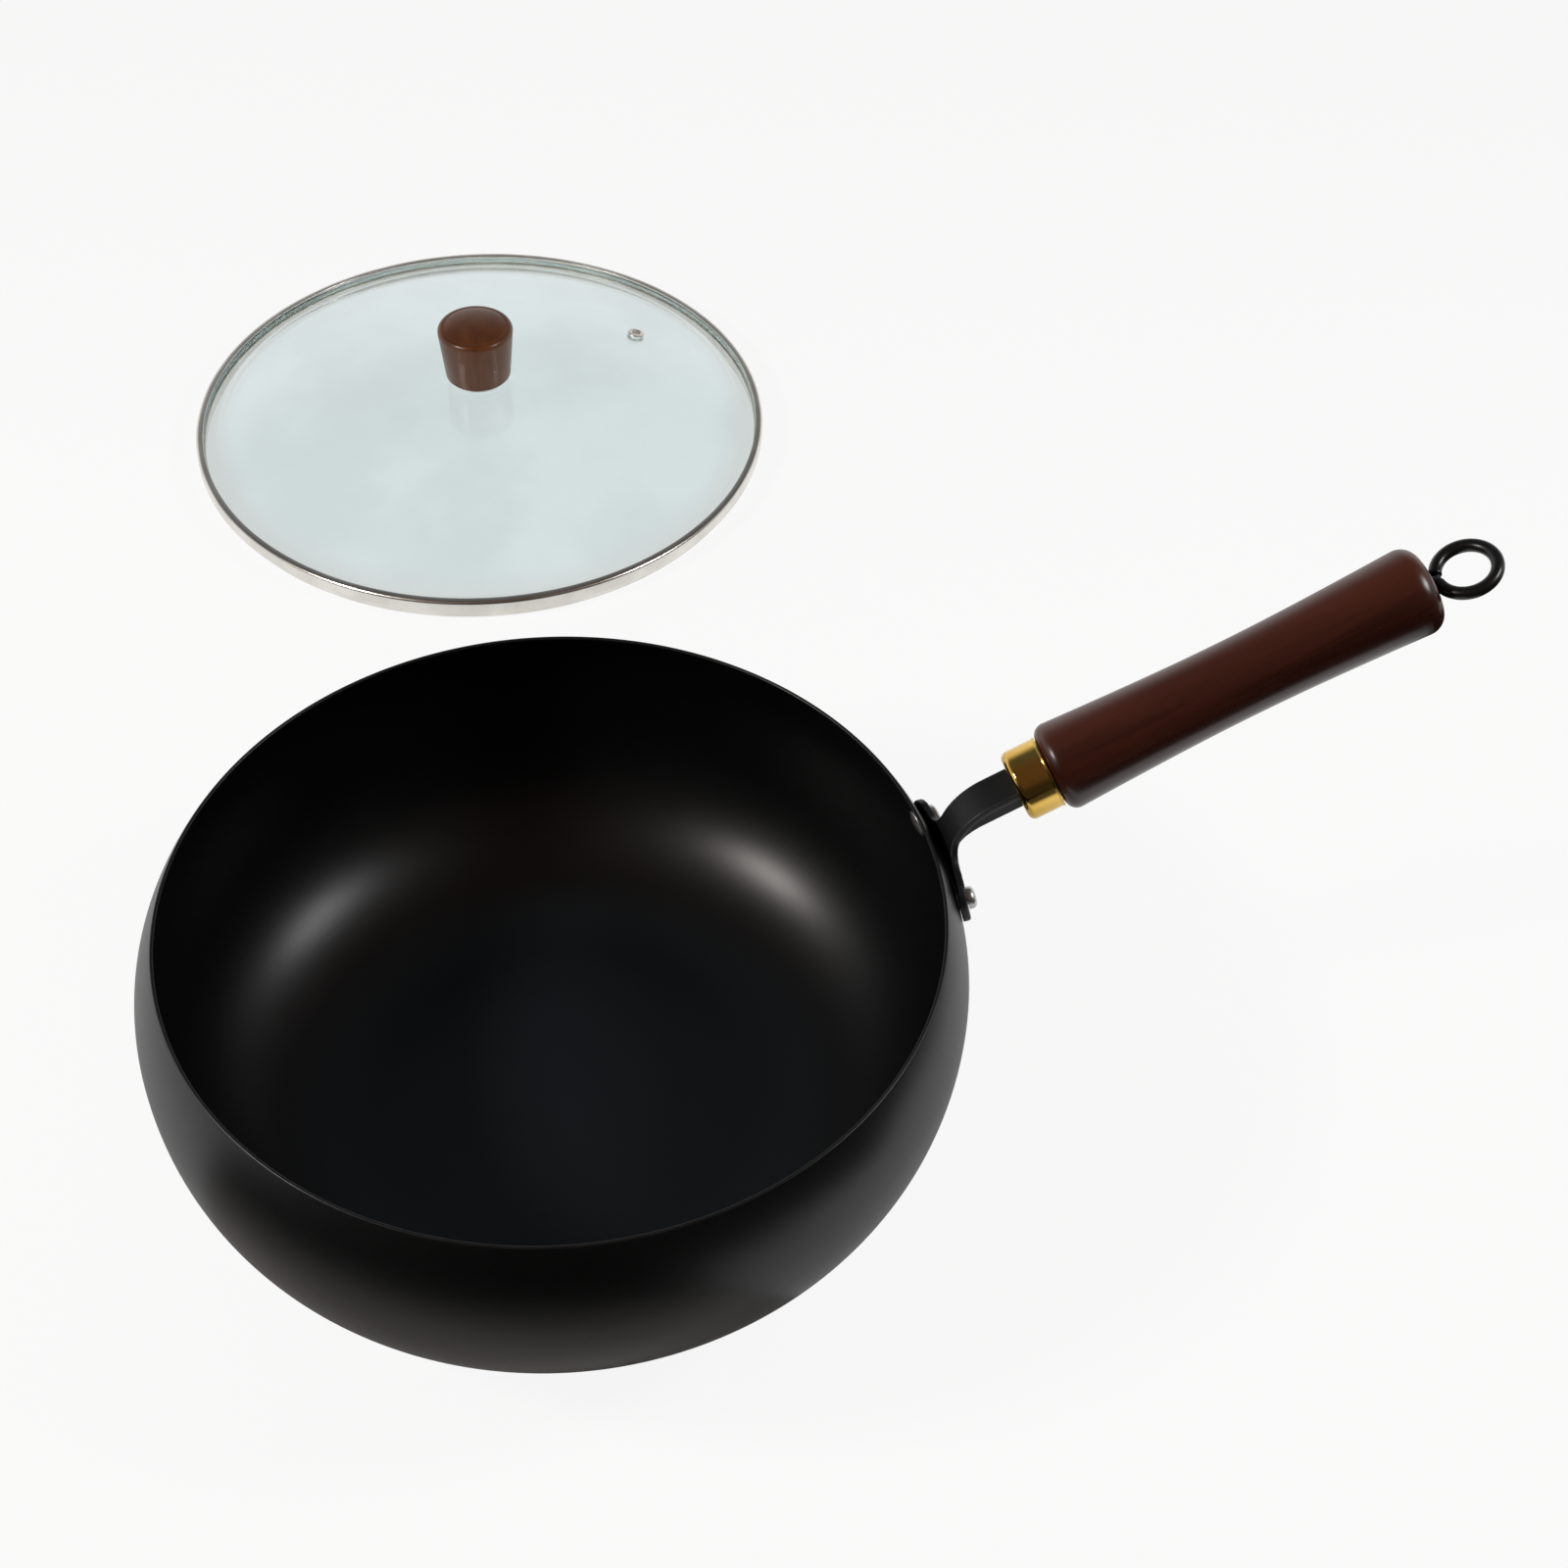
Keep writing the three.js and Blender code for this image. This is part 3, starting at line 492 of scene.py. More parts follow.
ironSkin = paintedFinish("blackIron", ironLook)
bracketSkin = paintedFinish("blackBracket", bracketLook)
wireSkin = paintedFinish("blackWire", wireLook)
gripWood = woodFinish("gripWood", gripLook)
knobWood = woodFinish("knobWood", knobLook)
brassSkin = metalFinish("polishedBrass", brassLook)
bandSkin = metalFinish("polishedBand", bandLook)
rivetSkin = metalFinish("pressedRivet", rivetLook)
steelSkin = metalFinish("plainSteel", steelLook)
siliconeSkin = softFinish("whiteSilicone", siliconeLook)
lidGlassSkin = glassFinish("lidGlass", glassLook)
print("finishes made:", len(bpy.data.materials))


# Pan body
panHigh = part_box("pan_body")[1] / mm
panCut = {"bulge": 11, "drop": 39, "base": 152, "wall": 1.5, "fullness": 0.62, "lip": 0.6, "sides": 256,
          "floorRings": (0, 0.25, 0.5, 0.75), "footSteps": 72, "shoulderSteps": 28, "lipSteps": 5}
panHeight, bellyRadius = panHigh.z, panHigh.x
bellyHeight = panHeight - panCut["drop"]
rimRadius = bellyRadius - panCut["bulge"]
shoulderRadius = (panCut["bulge"] ** 2 + panCut["drop"] ** 2) / (2 * panCut["bulge"])
shoulderAt = (bellyRadius - shoulderRadius, bellyHeight)


def panSide(inset):  # from the edge of the base up to the rim
    base = panCut["base"] / 2
    out = panCut["fullness"] * (bellyRadius - base)
    foot = bezier((base, 0), (base + out, 0), (bellyRadius, (1 - panCut["fullness"]) * bellyHeight),
                  (bellyRadius, bellyHeight), panCut["footSteps"])
    radius = shoulderRadius - inset
    shoulder = arc(shoulderAt, radius, 0, asin(panCut["drop"] / radius), panCut["shoulderSteps"])
    return shifted(foot, inset)[:-1] + shoulder


def makePan():
    outside, inside = panSide(0), panSide(panCut["wall"])
    floorRings = [(panCut["base"] / 2 * share, 0) for share in panCut["floorRings"]]
    outer = floorRings + outside[:-1] + [(*outside[-1], panCut["lip"])]
    inner = [(*inside[-1], panCut["lip"])] + inside[-2::-1]
    inner += [(radius, panCut["wall"]) for radius, _ in reversed(floorRings)]
    mesh = turned("pan", rounded(outer + inner, panCut["lipSteps"]), panCut["sides"])
    makePiece("pan", mesh, ironSkin, "pan", ["pan_body"])


makePan()
print("pan made")


# Line of the handle, seen from the side as (x, z)
handleCut = {"tilt": 23.7, "inset": 2.7, "ferruleAt": 40.8, "gap": 0.3, "sides": 96}
handleTilt = radians(handleCut["tilt"])
handleFoot = Vector((rimRadius - handleCut["inset"], panHeight))
handleAlong = Vector((cos(handleTilt), sin(handleTilt)))
handleUp = Vector((-sin(handleTilt), cos(handleTilt)))
handlePlace = (Matrix.Translation(Vector((handleFoot.x, 0, handleFoot.y)) * mm)
               @ Matrix.Rotation(pi / 2 - handleTilt, 4, "Y"))


# Handle bracket: one pressed sheet that goes up the wall and bends out into a channel
bracketCut = {"sheet": 3.2, "width": 15, "depth": 9.5, "flange": 2.2, "flangeInset": 1.1, "bend": 26,
              "stemEnd": 43.3, "gussetReach": 24, "gussetFoot": 0.2, "gussetPull": 2 / 3, "earWidth": 59.4,
              "earHeight": 20, "earMiddle": 102, "corner": 9, "fillet": 9, "earSteps": 24, "bendSteps": 60,
              "stemSteps": 12, "gussetSteps": 24, "columns": 20, "voxel": 0.35, "smooth": 18, "softness": 0.5}


def bracketLine():  # the middle of the sheet, seen from the side
    bend, rise = bracketCut["bend"], (bracketCut["depth"] - bracketCut["sheet"]) / 2
    earRadius = shoulderRadius + handleCut["gap"] + bracketCut["sheet"] / 2
    level = handleFoot + handleUp * (rise - bend)
    away = level - Vector(shoulderAt)
    ahead = away.dot(handleAlong)
    bendAt = sqrt(ahead ** 2 - away.length_squared + (earRadius + bend) ** 2) - ahead
    middle = level + handleAlong * bendAt
    leave = atan2(middle.y - shoulderAt[1], middle.x - shoulderAt[0])
    lowest = asin((bracketCut["earMiddle"] - bracketCut["earHeight"] / 2 - bellyHeight) / earRadius)
    ear = arc(shoulderAt, earRadius, lowest, leave, bracketCut["earSteps"])
    turn = arc(middle, bend, leave + pi, handleTilt + pi / 2, bracketCut["bendSteps"])
    start, steps = handleFoot + handleUp * rise, bracketCut["stemSteps"]
    straight = bracketCut["stemEnd"] - bendAt
    stem = [tuple(start + handleAlong * (bendAt + straight * i / steps)) for i in range(steps + 1)]
    return ear, turn, stem


def sheetHalf(height):  # half the sheet's width, seen from the front
    middle, ear, corner = bracketCut["earMiddle"], bracketCut["earHeight"] / 2, bracketCut["corner"]
    stem, fillet = bracketCut["width"] / 2, bracketCut["fillet"]
    top = middle + ear
    if height < top:
        reach = min(max(abs(height - middle) - ear + corner, 0), corner)
        return bracketCut["earWidth"] / 2 - corner + sqrt(corner ** 2 - reach ** 2)
    return stem + fillet - sqrt(fillet ** 2 - max(top + fillet - height, 0) ** 2)


def addSheet(shape, line):
    columns = [i / bracketCut["columns"] - 1 for i in range(2 * bracketCut["columns"] + 1)]
    rings = []
    for (outRadius, outHeight), (inRadius, inHeight), (_, height) in zip(
            shifted(line, -bracketCut["sheet"] / 2), shifted(line, bracketCut["sheet"] / 2), line):
        half = sheetHalf(height)
        outside = [(sqrt(outRadius ** 2 - (half * v) ** 2), half * v, outHeight) for v in columns]
        inside = [(sqrt(inRadius ** 2 - (half * v) ** 2), half * v, inHeight) for v in reversed(columns)]
        rings.append(outside + inside)
    ends = [[tuple(sum(p[k] for p in ring) / len(ring) for k in range(3))] for ring in (rings[0], rings[-1])]
    addSkin(shape, ends[:1] + rings + ends[1:])


def flangeOutline(turn, stem):  # the free edge runs down into the bend like a gusset
    inside = turn[round(bracketCut["gussetFoot"] * (len(turn) - 1)):] + stem[1:]
    edge = handleFoot - handleUp * (bracketCut["depth"] / 2)
    upSheet = (Vector(inside[1]) - Vector(inside[0])).normalized()
    foot = Vector(inside[0]) + Vector((upSheet.y, -upSheet.x)) * (bracketCut["sheet"] / 2)
    rise = (foot - edge).cross(handleAlong) / handleAlong.cross(upSheet)
    corner, turnAt = foot + upSheet * rise, edge + handleAlong * bracketCut["gussetReach"]
    pull = bracketCut["gussetPull"]
    free = bezier(turnAt, turnAt.lerp(corner, pull), foot.lerp(corner, pull), foot, bracketCut["gussetSteps"])
    return inside + [tuple(edge + handleAlong * bracketCut["stemEnd"])] + free


def pressed(shape, name, voxel, steps, softness):  # joins overlapping solids and softens their edges
    helper = addObject(name, toMesh(shape, name))
    remesh = helper.modifiers.new("join", "REMESH")
    remesh.mode = "VOXEL"
    remesh.voxel_size = voxel * mm
    soften = helper.modifiers.new("soften", "SMOOTH")
    soften.factor = softness
    soften.iterations = steps
    mesh = applied(helper)
    bpy.data.objects.remove(helper)
    mesh.shade_smooth()
    markEdges(mesh)
    return mesh


def makeBracket():
    ear, turn, stem = bracketLine()
    shape = bmesh.new()
    addSheet(shape, ear + turn[1:] + stem[1:])
    outer = bracketCut["width"] / 2 - bracketCut["flangeInset"]
    for side in (-1, 1):
        addPlate(shape, flangeOutline(turn, stem), side * outer, side * (outer - bracketCut["flange"]))
    mesh = pressed(shape, "bracket", bracketCut["voxel"], bracketCut["smooth"], bracketCut["softness"])
    makePiece("bracket", mesh, bracketSkin, "pan", ["handle_bracket"])


makeBracket()
print("bracket made")


# Rivets
rivetCut = {"spacing": 44, "drop": 18, "shank": 5, "seat": 3.8, "head": 9, "crown": 3.5, "land": 0.9,
            "headTop": 0.75, "headSide": 0.5, "innerSeat": 2.1, "innerHead": 11.5, "innerCrown": 1.6,
            "innerTop": 0.55, "innerSide": 0.9, "innerLand": 0.3, "bevel": 0.2, "headSteps": 12,
            "innerSteps": 8, "sides": 40}


def makeRivets():
    shank, head, inner = rivetCut["shank"] / 2, rivetCut["head"] / 2, rivetCut["innerHead"] / 2
    seat, low = rivetCut["seat"], -rivetCut["innerSeat"]
    top, bottom = seat + rivetCut["crown"], low - rivetCut["innerCrown"]
    shoulder, bevel = seat + rivetCut["land"], rivetCut["bevel"]
    outline = bezier((0, bottom), (inner * rivetCut["innerTop"], bottom),
                     (inner, low - rivetCut["innerSide"]), (inner, low - rivetCut["innerLand"]),
                     rivetCut["innerSteps"])
    outline += [(inner - bevel, low), (shank, low), (shank, seat), (head - bevel, seat), (head, seat + bevel)]
    outline += bezier((head, shoulder), (head, top - rivetCut["headSide"]), (head * rivetCut["headTop"], top),
                      (0, top), rivetCut["headSteps"])
    lean = asin((panHeight - rivetCut["drop"] - bellyHeight) / shoulderRadius)
    out = shoulderAt[0] + shoulderRadius * cos(lean)
    for name, node, side in (("rivetLeft", "rivet_left", 1), ("rivetRight", "rivet_right", -1)):
        bearing = side * asin(rivetCut["spacing"] / 2 / out)
        stand = (Matrix.Rotation(bearing, 4, "Z")
                 @ Matrix.Translation(Vector((out, 0, panHeight - rivetCut["drop"])) * mm)
                 @ Matrix.Rotation(pi / 2 - lean, 4, "Y"))
        mesh = turned(name, outline, rivetCut["sides"])
        makePiece(name, mesh, rivetSkin, "pan", [node], stand)


makeRivets()
print("rivets made")


# Ferrule, grip and eye, in the handle's own axes: local Z runs along the grip
ferruleCut = {"width": 29, "length": 15, "wall": 1.2, "round": 3, "window": (5.05, 7.8), "bead": 0.35,
              "beadEdge": 0.28, "mouth": 0.3, "steps": 8}
gripCut = {"length": 161.3, "front": 36, "waist": 31.5, "rear": 35.5, "waistAt": 82, "frontRound": 5,
           "rearRound": 7.5, "tenon": 9, "mouth": 0.6, "frontSteps": 12, "sideSteps": 24, "rearSteps": 16}
wireCut = {"width": 5.2, "eye": 28.6, "offset": 1.45, "gap": 0.5, "endGap": 0.6, "crown": 0.7, "start": 43.9,
           "rodSteps": 16, "neckSteps": 12, "loopSteps": 80, "sides": 28}
ferruleEnd = handleCut["ferruleAt"] + ferruleCut["length"]
gripStart = ferruleEnd + handleCut["gap"]
gripEnd = gripStart + gripCut["length"]


def boxRing(half, height, sides):  # an oblong ring with as many points as a circle
    points = []
    for j in range(sides):
        x, y = cos(2 * pi * j / sides), sin(2 * pi * j / sides)
        reach = min(half[0] / max(abs(x), tiny), half[1] / max(abs(y), tiny))
        points.append((x * reach, y * reach, height))
    return points


def makeFerrule():
    front, wall, sides = handleCut["ferruleAt"], ferruleCut["wall"], handleCut["sides"]
    outer = ferruleCut["width"] / 2
    inner = outer - wall
    bead = ferruleCut["bead"]
    face = outer - ferruleCut["round"]
    corners = [(face, front), (outer, front, ferruleCut["round"]), (outer, ferruleEnd - 3 * bead, bead),
               (outer + bead, ferruleEnd - 2 * bead, bead),
               (outer + bead, ferruleEnd, ferruleCut["beadEdge"]), (inner, ferruleEnd, ferruleCut["mouth"]),
               (inner, front + wall, ferruleCut["round"] - wall), (face, front + wall)]
    rings = [circle(radius, height, sides) for radius, height in rounded(corners, ferruleCut["steps"])]
    window = [boxRing(ferruleCut["window"], height, sides) for height in (front + wall, front)]
    mesh = skinned("ferrule", window + rings, loop=True)
    makePiece("brassFerrule", mesh, brassSkin, "pan", ["ferrule"], handlePlace)


def makeGrip():
    bore = wireCut["width"] / 2 + handleCut["gap"]
    tenon = ferruleCut["width"] / 2 - ferruleCut["wall"] - handleCut["gap"]
    tenonEnd, mouth, sideSteps = gripStart - gripCut["tenon"], gripCut["mouth"], gripCut["sideSteps"]
    front, waist, rear = gripCut["front"] / 2, gripCut["waist"] / 2, gripCut["rear"] / 2
    frontRound, rearRound = gripCut["frontRound"], gripCut["rearRound"]
    low, middle, high = gripStart + frontRound, gripStart + gripCut["waistAt"], gripEnd - rearRound
    outline = [(bore, tenonEnd), (tenon, tenonEnd), (tenon, gripStart)]
    outline += arc((front - frontRound, low), frontRound, -pi / 2, 0, gripCut["frontSteps"])[1:]
    outline += bezier((front, low), ((front + waist) / 2, low + (middle - low) / 3),
                      (waist, middle - (middle - low) / 3), (waist, middle), sideSteps)[1:]
    outline += bezier((waist, middle), (waist, middle + (high - middle) / 3),
                      ((waist + rear) / 2, high - (high - middle) / 3), (rear, high), sideSteps)[1:]
    outline += arc((rear - rearRound, high), rearRound, 0, pi / 2, gripCut["rearSteps"])[1:]
    outline += [(bore + mouth, gripEnd), (bore, gripEnd - mouth)]
    mesh = turned("grip", outline, handleCut["sides"], loop=True)
    makePiece("woodGrip", mesh, gripWood, "pan", ["handle_grip"], handlePlace)


def makeEye():
    loop, offset = (wireCut["eye"] - wireCut["width"]) / 2, wireCut["offset"]
    neck = wireCut["width"] / 2 + wireCut["gap"]
    span = neck + loop
    swing = asin((neck - offset) / span)
    eyeAt = gripEnd + span * cos(swing)
    nearest = neck + wireCut["width"] / 2 + wireCut["endGap"] + wireCut["crown"]
    closing = acos((loop ** 2 + span ** 2 - nearest ** 2) / (2 * loop * span))
    start, rodSteps = wireCut["start"], wireCut["rodSteps"]
    flat = [(start + (gripEnd - start) * i / rodSteps, 0) for i in range(rodSteps)]
    flat += arc((gripEnd, -neck), neck, pi / 2, swing, wireCut["neckSteps"])
    flat += arc((eyeAt, -offset), loop, swing - pi, pi + swing - closing, wireCut["loopSteps"])[1:]
    path = [Vector((0, sideways, along)) for along, sideways in flat]
    mesh = swept("eye", path, wireCut["width"] / 2, wireCut["sides"], wireCut["crown"])
    makePiece("hangingEye", mesh, wireSkin, "pan", ["hanging_eye"], handlePlace)


makeFerrule()
makeGrip()
makeEye()
print("handle made")


# Lid, in its own axes: local Z is its middle, from the level it lies on
bandLow, bandHigh = (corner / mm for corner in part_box("lid_band"))
glassLow, glassHigh = (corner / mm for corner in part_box("lid_glass"))
knobLow, knobHigh = (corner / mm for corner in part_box("lid_knob"))
seatLow, seatHigh = (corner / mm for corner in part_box("knob_seat"))
gasketLow, gasketHigh = (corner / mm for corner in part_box("edge_gasket"))
screwLow, screwHigh = (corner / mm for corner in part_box("knob_screw"))
washerLow, washerHigh = (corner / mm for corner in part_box("screw_washer"))
rubberLow, rubberHigh = (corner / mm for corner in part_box("screw_gasket"))
lidMiddle = (bandLow + bandHigh) / 2
lidPlace = Matrix.Translation(Vector((lidMiddle.x, lidMiddle.y, 0)) * mm)
glassCut = {"thick": 4, "land": 7.1, "fillet": 8, "edge": 1.2, "hole": 9, "ventAt": 100, "ventBearing": 20,
            "ventHole": 6.6, "drillReach": 12, "domeSteps": 44, "filletSteps": (10, 12), "edgeSteps": 6,
            "ventSides": 48, "sides": 240}
glassRadius = (glassHigh.x - glassLow.x) / 2
landTop = glassLow.z + glassCut["thick"]
domeRise = glassHigh.z - landTop
domeFoot = glassRadius - glassCut["land"]
domeRadius = (domeFoot ** 2 + domeRise ** 2) / (2 * domeRise) - glassCut["fillet"]
domeAt = glassHigh.z - domeRadius
ventLean = asin(glassCut["ventAt"] / domeRadius)
ventPlace = (Matrix.Rotation(radians(glassCut["ventBearing"]), 4, "Z")
             @ Matrix.Translation(Vector((glassCut["ventAt"], 0, domeAt + domeRadius * cos(ventLean))) * mm)
             @ Matrix.Rotation(ventLean, 4, "Y"))


def drilled(mesh, radius, reach, stand, sides):  # cuts a round hole through a mesh
    drill = turned("drill", [(0, -reach), (radius, -reach), (radius, reach), (0, reach)], sides)
    drill.transform(stand)
    blank, bit = addObject(mesh.name, mesh), addObject("drill", drill)
    cut = blank.modifiers.new("cut", "BOOLEAN")
    cut.operation, cut.solver, cut.object = "DIFFERENCE", "EXACT", bit
    made = applied(blank)
    for helper in (blank, bit):
        bpy.data.objects.remove(helper)
    made.shade_smooth()
    made.set_sharp_from_angle(angle=creaseAngle)
    return made


def makeGlass():
    thick, fillet = glassCut["thick"], glassCut["fillet"]
    filletAt = (domeFoot, landTop + fillet)
    meet = atan2(filletAt[1] - domeAt, domeFoot)
    hole = asin(glassCut["hole"] / 2 / domeRadius)
    domeSteps, (topSteps, underSteps) = glassCut["domeSteps"], glassCut["filletSteps"]
    upper = arc((0, domeAt), domeRadius, pi / 2 - hole, meet, domeSteps)
    upper += arc(filletAt, fillet, meet + pi, 1.5 * pi, topSteps)[1:]
    lower = arc(filletAt, fillet + thick, 1.5 * pi, meet + pi, underSteps)
    lower += arc((0, domeAt), domeRadius - thick, meet, pi / 2 - hole, domeSteps)[1:]
    edge = [(glassRadius, landTop, glassCut["edge"]), (glassRadius, glassLow.z, glassCut["edge"])]
    outline = rounded(upper + edge + lower, glassCut["edgeSteps"], loop=True)
    mesh = turned("lidGlass", outline, glassCut["sides"], loop=True)
    mesh = drilled(mesh, glassCut["ventHole"] / 2, glassCut["drillReach"], ventPlace, glassCut["ventSides"])
    makePiece("lidGlass", mesh, lidGlassSkin, "lid", ["lid_glass"], lidPlace)


bandCut = {"sheet": 0.8, "flange": 3.8, "round": 1.9, "skirt": 5, "skirtOut": 147.52, "edge": 0.3,
           "skirtRound": 0.5, "innerRound": 0.8, "steps": 6, "sides": 240}


def makeBand():
    sheet, skirt, edge = bandCut["sheet"], bandCut["skirt"], bandCut["edge"]
    outer, top, skirtOut = (bandHigh.x - bandLow.x) / 2, bandHigh.z, bandCut["skirtOut"]
    inner, lip, skirtIn = outer - sheet, outer - bandCut["flange"], skirtOut - sheet
    corners = [(skirtIn, 0, edge), (skirtOut, 0, edge), (skirtOut, skirt, bandCut["skirtRound"]),
               (outer, skirt, bandCut["round"]), (outer, top, bandCut["round"]), (lip, top, edge),
               (lip, top - sheet, edge), (inner, top - sheet, bandCut["innerRound"]),
               (inner, skirt + sheet, bandCut["innerRound"]), (skirtIn, skirt + sheet, edge)]
    mesh = turned("lidBand", rounded(corners, bandCut["steps"], loop=True), bandCut["sides"], loop=True)
    makePiece("steelBand", mesh, bandSkin, "lid", ["lid_band"], lidPlace)


linerCut = {"leg": 2.4, "thick": 0.6, "edge": 0.2, "innerRound": 0.3, "steps": 3, "sides": 240}


def makeEdgeLiner():
    outer, low, high = (gasketHigh.x - gasketLow.x) / 2, gasketLow.z, gasketHigh.z
    thick, edge, innerRound = linerCut["thick"], linerCut["edge"], linerCut["innerRound"]
    lip, inner = outer - linerCut["leg"], outer - thick
    corners = [(lip, low, edge), (outer, low, edge), (outer, high, edge), (lip, high, edge),
               (lip, high - thick, edge), (inner, high - thick, innerRound), (inner, low + thick, innerRound),
               (lip, low + thick, edge)]
    mesh = turned("edgeLiner", rounded(corners, linerCut["steps"], loop=True), linerCut["sides"], loop=True)
    makePiece("edgeLiner", mesh, siliconeSkin, "lid", ["edge_gasket"], lidPlace)


knobCut = {"base": 34, "topRound": 3, "baseRound": 1.2, "crown": 2.5, "crownInset": 1, "edgeRise": 0.6,
           "crownRise": (0.55, 1.4), "crownFull": (0.7, 0.4), "socket": 4.3, "socketDepth": 13.3,
           "socketRound": 0.4, "roundSteps": 10, "crownSteps": 18, "sides": 96}


def makeKnob():
    base, top = knobCut["base"] / 2, (knobHigh.x - knobLow.x) / 2
    low, edge = knobLow.z, knobHigh.z - knobCut["crown"]
    socket, socketTop = knobCut["socket"], low + knobCut["socketDepth"]
    corners = [(0, socketTop), (socket, socketTop), (socket, low, knobCut["socketRound"]),
               (base, low, knobCut["baseRound"]), (top, edge + knobCut["edgeRise"], knobCut["topRound"])]
    crownStart = top - knobCut["topRound"] - knobCut["crownInset"]
    (startRise, sideRise), (sideFull, topFull) = knobCut["crownRise"], knobCut["crownFull"]
    crown = bezier((crownStart, edge + startRise), (top * sideFull, edge + sideRise),
                   (top * topFull, knobHigh.z), (0, knobHigh.z), knobCut["crownSteps"])
    mesh = turned("knob", rounded(corners + crown, knobCut["roundSteps"]), knobCut["sides"])
    makePiece("woodKnob", mesh, knobWood, "lid", ["lid_knob"], lidPlace)


ringCut = {"steps": 4, "sides": 64}
seatCut = {"bore": 2.8, "thick": 1.5, "edge": 0.4}
washerCut = {"bore": 2.8, "thick": 1, "edge": 0.2}
rubberCut = {"bore": 4.3, "thick": 1.5, "edge": 0.3}


def makeRing(name, cut, low, high, finish, node):  # low and high are the corners of the ring's box
    bore, outer, edge = cut["bore"], (high.x - low.x) / 2, cut["edge"]
    foot, top = low.z, low.z + cut["thick"]
    corners = [(bore, foot, edge), (outer, foot, edge), (outer, top, edge), (bore, top, edge)]
    mesh = turned(name, rounded(corners, ringCut["steps"], loop=True), ringCut["sides"], loop=True)
    makePiece(name, mesh, finish, "lid", [node], lidPlace)


screwCut = {"shank": 2.5, "head": 3, "recessFloor": (0.9, 1.6), "recessMouth": (1.7, 0.2),
            "crown": (1.9, 0.15), "crownLean": (0.6, 0.1), "side": 0.9, "edge": (0.3, 0.4), "tipBevel": 0.8,
            "crownSteps": 10, "sides": 48}


def makeScrew():
    head, shank, bevel = (screwHigh.x - screwLow.x) / 2, screwCut["shank"], screwCut["tipBevel"]
    low, seat, tip = screwLow.z, screwLow.z + screwCut["head"], screwHigh.z
    floor, mouth, crown = ((radius, low + height) for radius, height in
                           (screwCut[key] for key in ("recessFloor", "recessMouth", "crown")))
    (lean, rise), (inset, drop) = screwCut["crownLean"], screwCut["edge"]
    outline = [(0, floor[1]), floor, mouth]
    outline += bezier(crown, (head * lean, low + rise), (head, low + screwCut["side"]), (head, seat - drop),
                      screwCut["crownSteps"])
    outline += [(head - inset, seat), (shank, seat), (shank, tip - bevel), (shank - bevel, tip), (0, tip)]
    mesh = turned("knobScrew", outline, screwCut["sides"])
    makePiece("knobScrew", mesh, steelSkin, "lid", ["knob_screw"], lidPlace)


eyeletCut = {"bore": 2, "barrel": 3, "flange": 4.7, "sheet": 0.8, "gap": 0.3, "steps": 6, "sides": 48,
             "rounds": (0.5, 0.3, 0.2, 0.1, 0.1, 0.2, 0.55, 0.9)}  # from the lower mouth to the upper one


def makeEyelet():
    bore, barrel, flange, sheet = (eyeletCut[key] for key in ("bore", "barrel", "flange", "sheet"))
    under, over = -glassCut["thick"] - eyeletCut["gap"], eyeletCut["gap"]
    points = [(bore, under - sheet), (flange, under - sheet), (flange, under), (barrel, under),
              (barrel, over), (flange, over), (flange, over + sheet), (bore, over + sheet)]
    corners = [(*point, fillet) for point, fillet in zip(points, eyeletCut["rounds"])]
    outline = rounded(corners, eyeletCut["steps"], loop=True)
    mesh = turned("ventEyelet", outline, eyeletCut["sides"], loop=True)
    makePiece("ventEyelet", mesh, bandSkin, "lid", ["vent_eyelet"], lidPlace @ ventPlace)


makeGlass()
makeBand()
makeEdgeLiner()
makeKnob()
makeRing("knobSeat", seatCut, seatLow, seatHigh, siliconeSkin, "knob_seat")
makeRing("screwWasher", washerCut, washerLow, washerHigh, steelSkin, "screw_washer")
makeRing("screwRubber", rubberCut, rubberLow, rubberHigh, siliconeSkin, "screw_gasket")
makeScrew()
makeEyelet()
print("lid made")

hiddenPieces = {"stem_nut": steelSkin, "knob_insert": brassSkin}  # these keep their own solids
for node, finish in hiddenPieces.items():
    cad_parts[node].data.materials.clear()
    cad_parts[node].data.materials.append(finish)


# Studio in metres: white sweep, dark sheets on the floor seen only in gloss (painted dark reflections), two
# soft boxes, pale sides and a dark front
sweepCut = {"front": -20, "back": 3.4, "bend": 0.9, "height": 3.5, "halfWidth": 20, "bendSteps": 16}
# In gloss the sweep is painted darker near the pan (painted shadow), high up and towards the front (painted
# dark reflections); backGlow: its far back glows for every ray and lights the scene like a lamp
sweepLook = {"dark": (0.87, 0.87, 0.87, 1), "light": (0.9, 0.9, 0.9, 1), "cloudScale": 3.0,
             "cloudDetail": 3.0, "glow": 0.9, "near": (0.16, 0.34), "nearDim": 0.5, "top": (0.6, 3.4),
             "topDim": 0.14, "glossFrontShade": (-0.45, -0.2), "endDim": 0.04, "backGlow": (0.6, 1.8)}


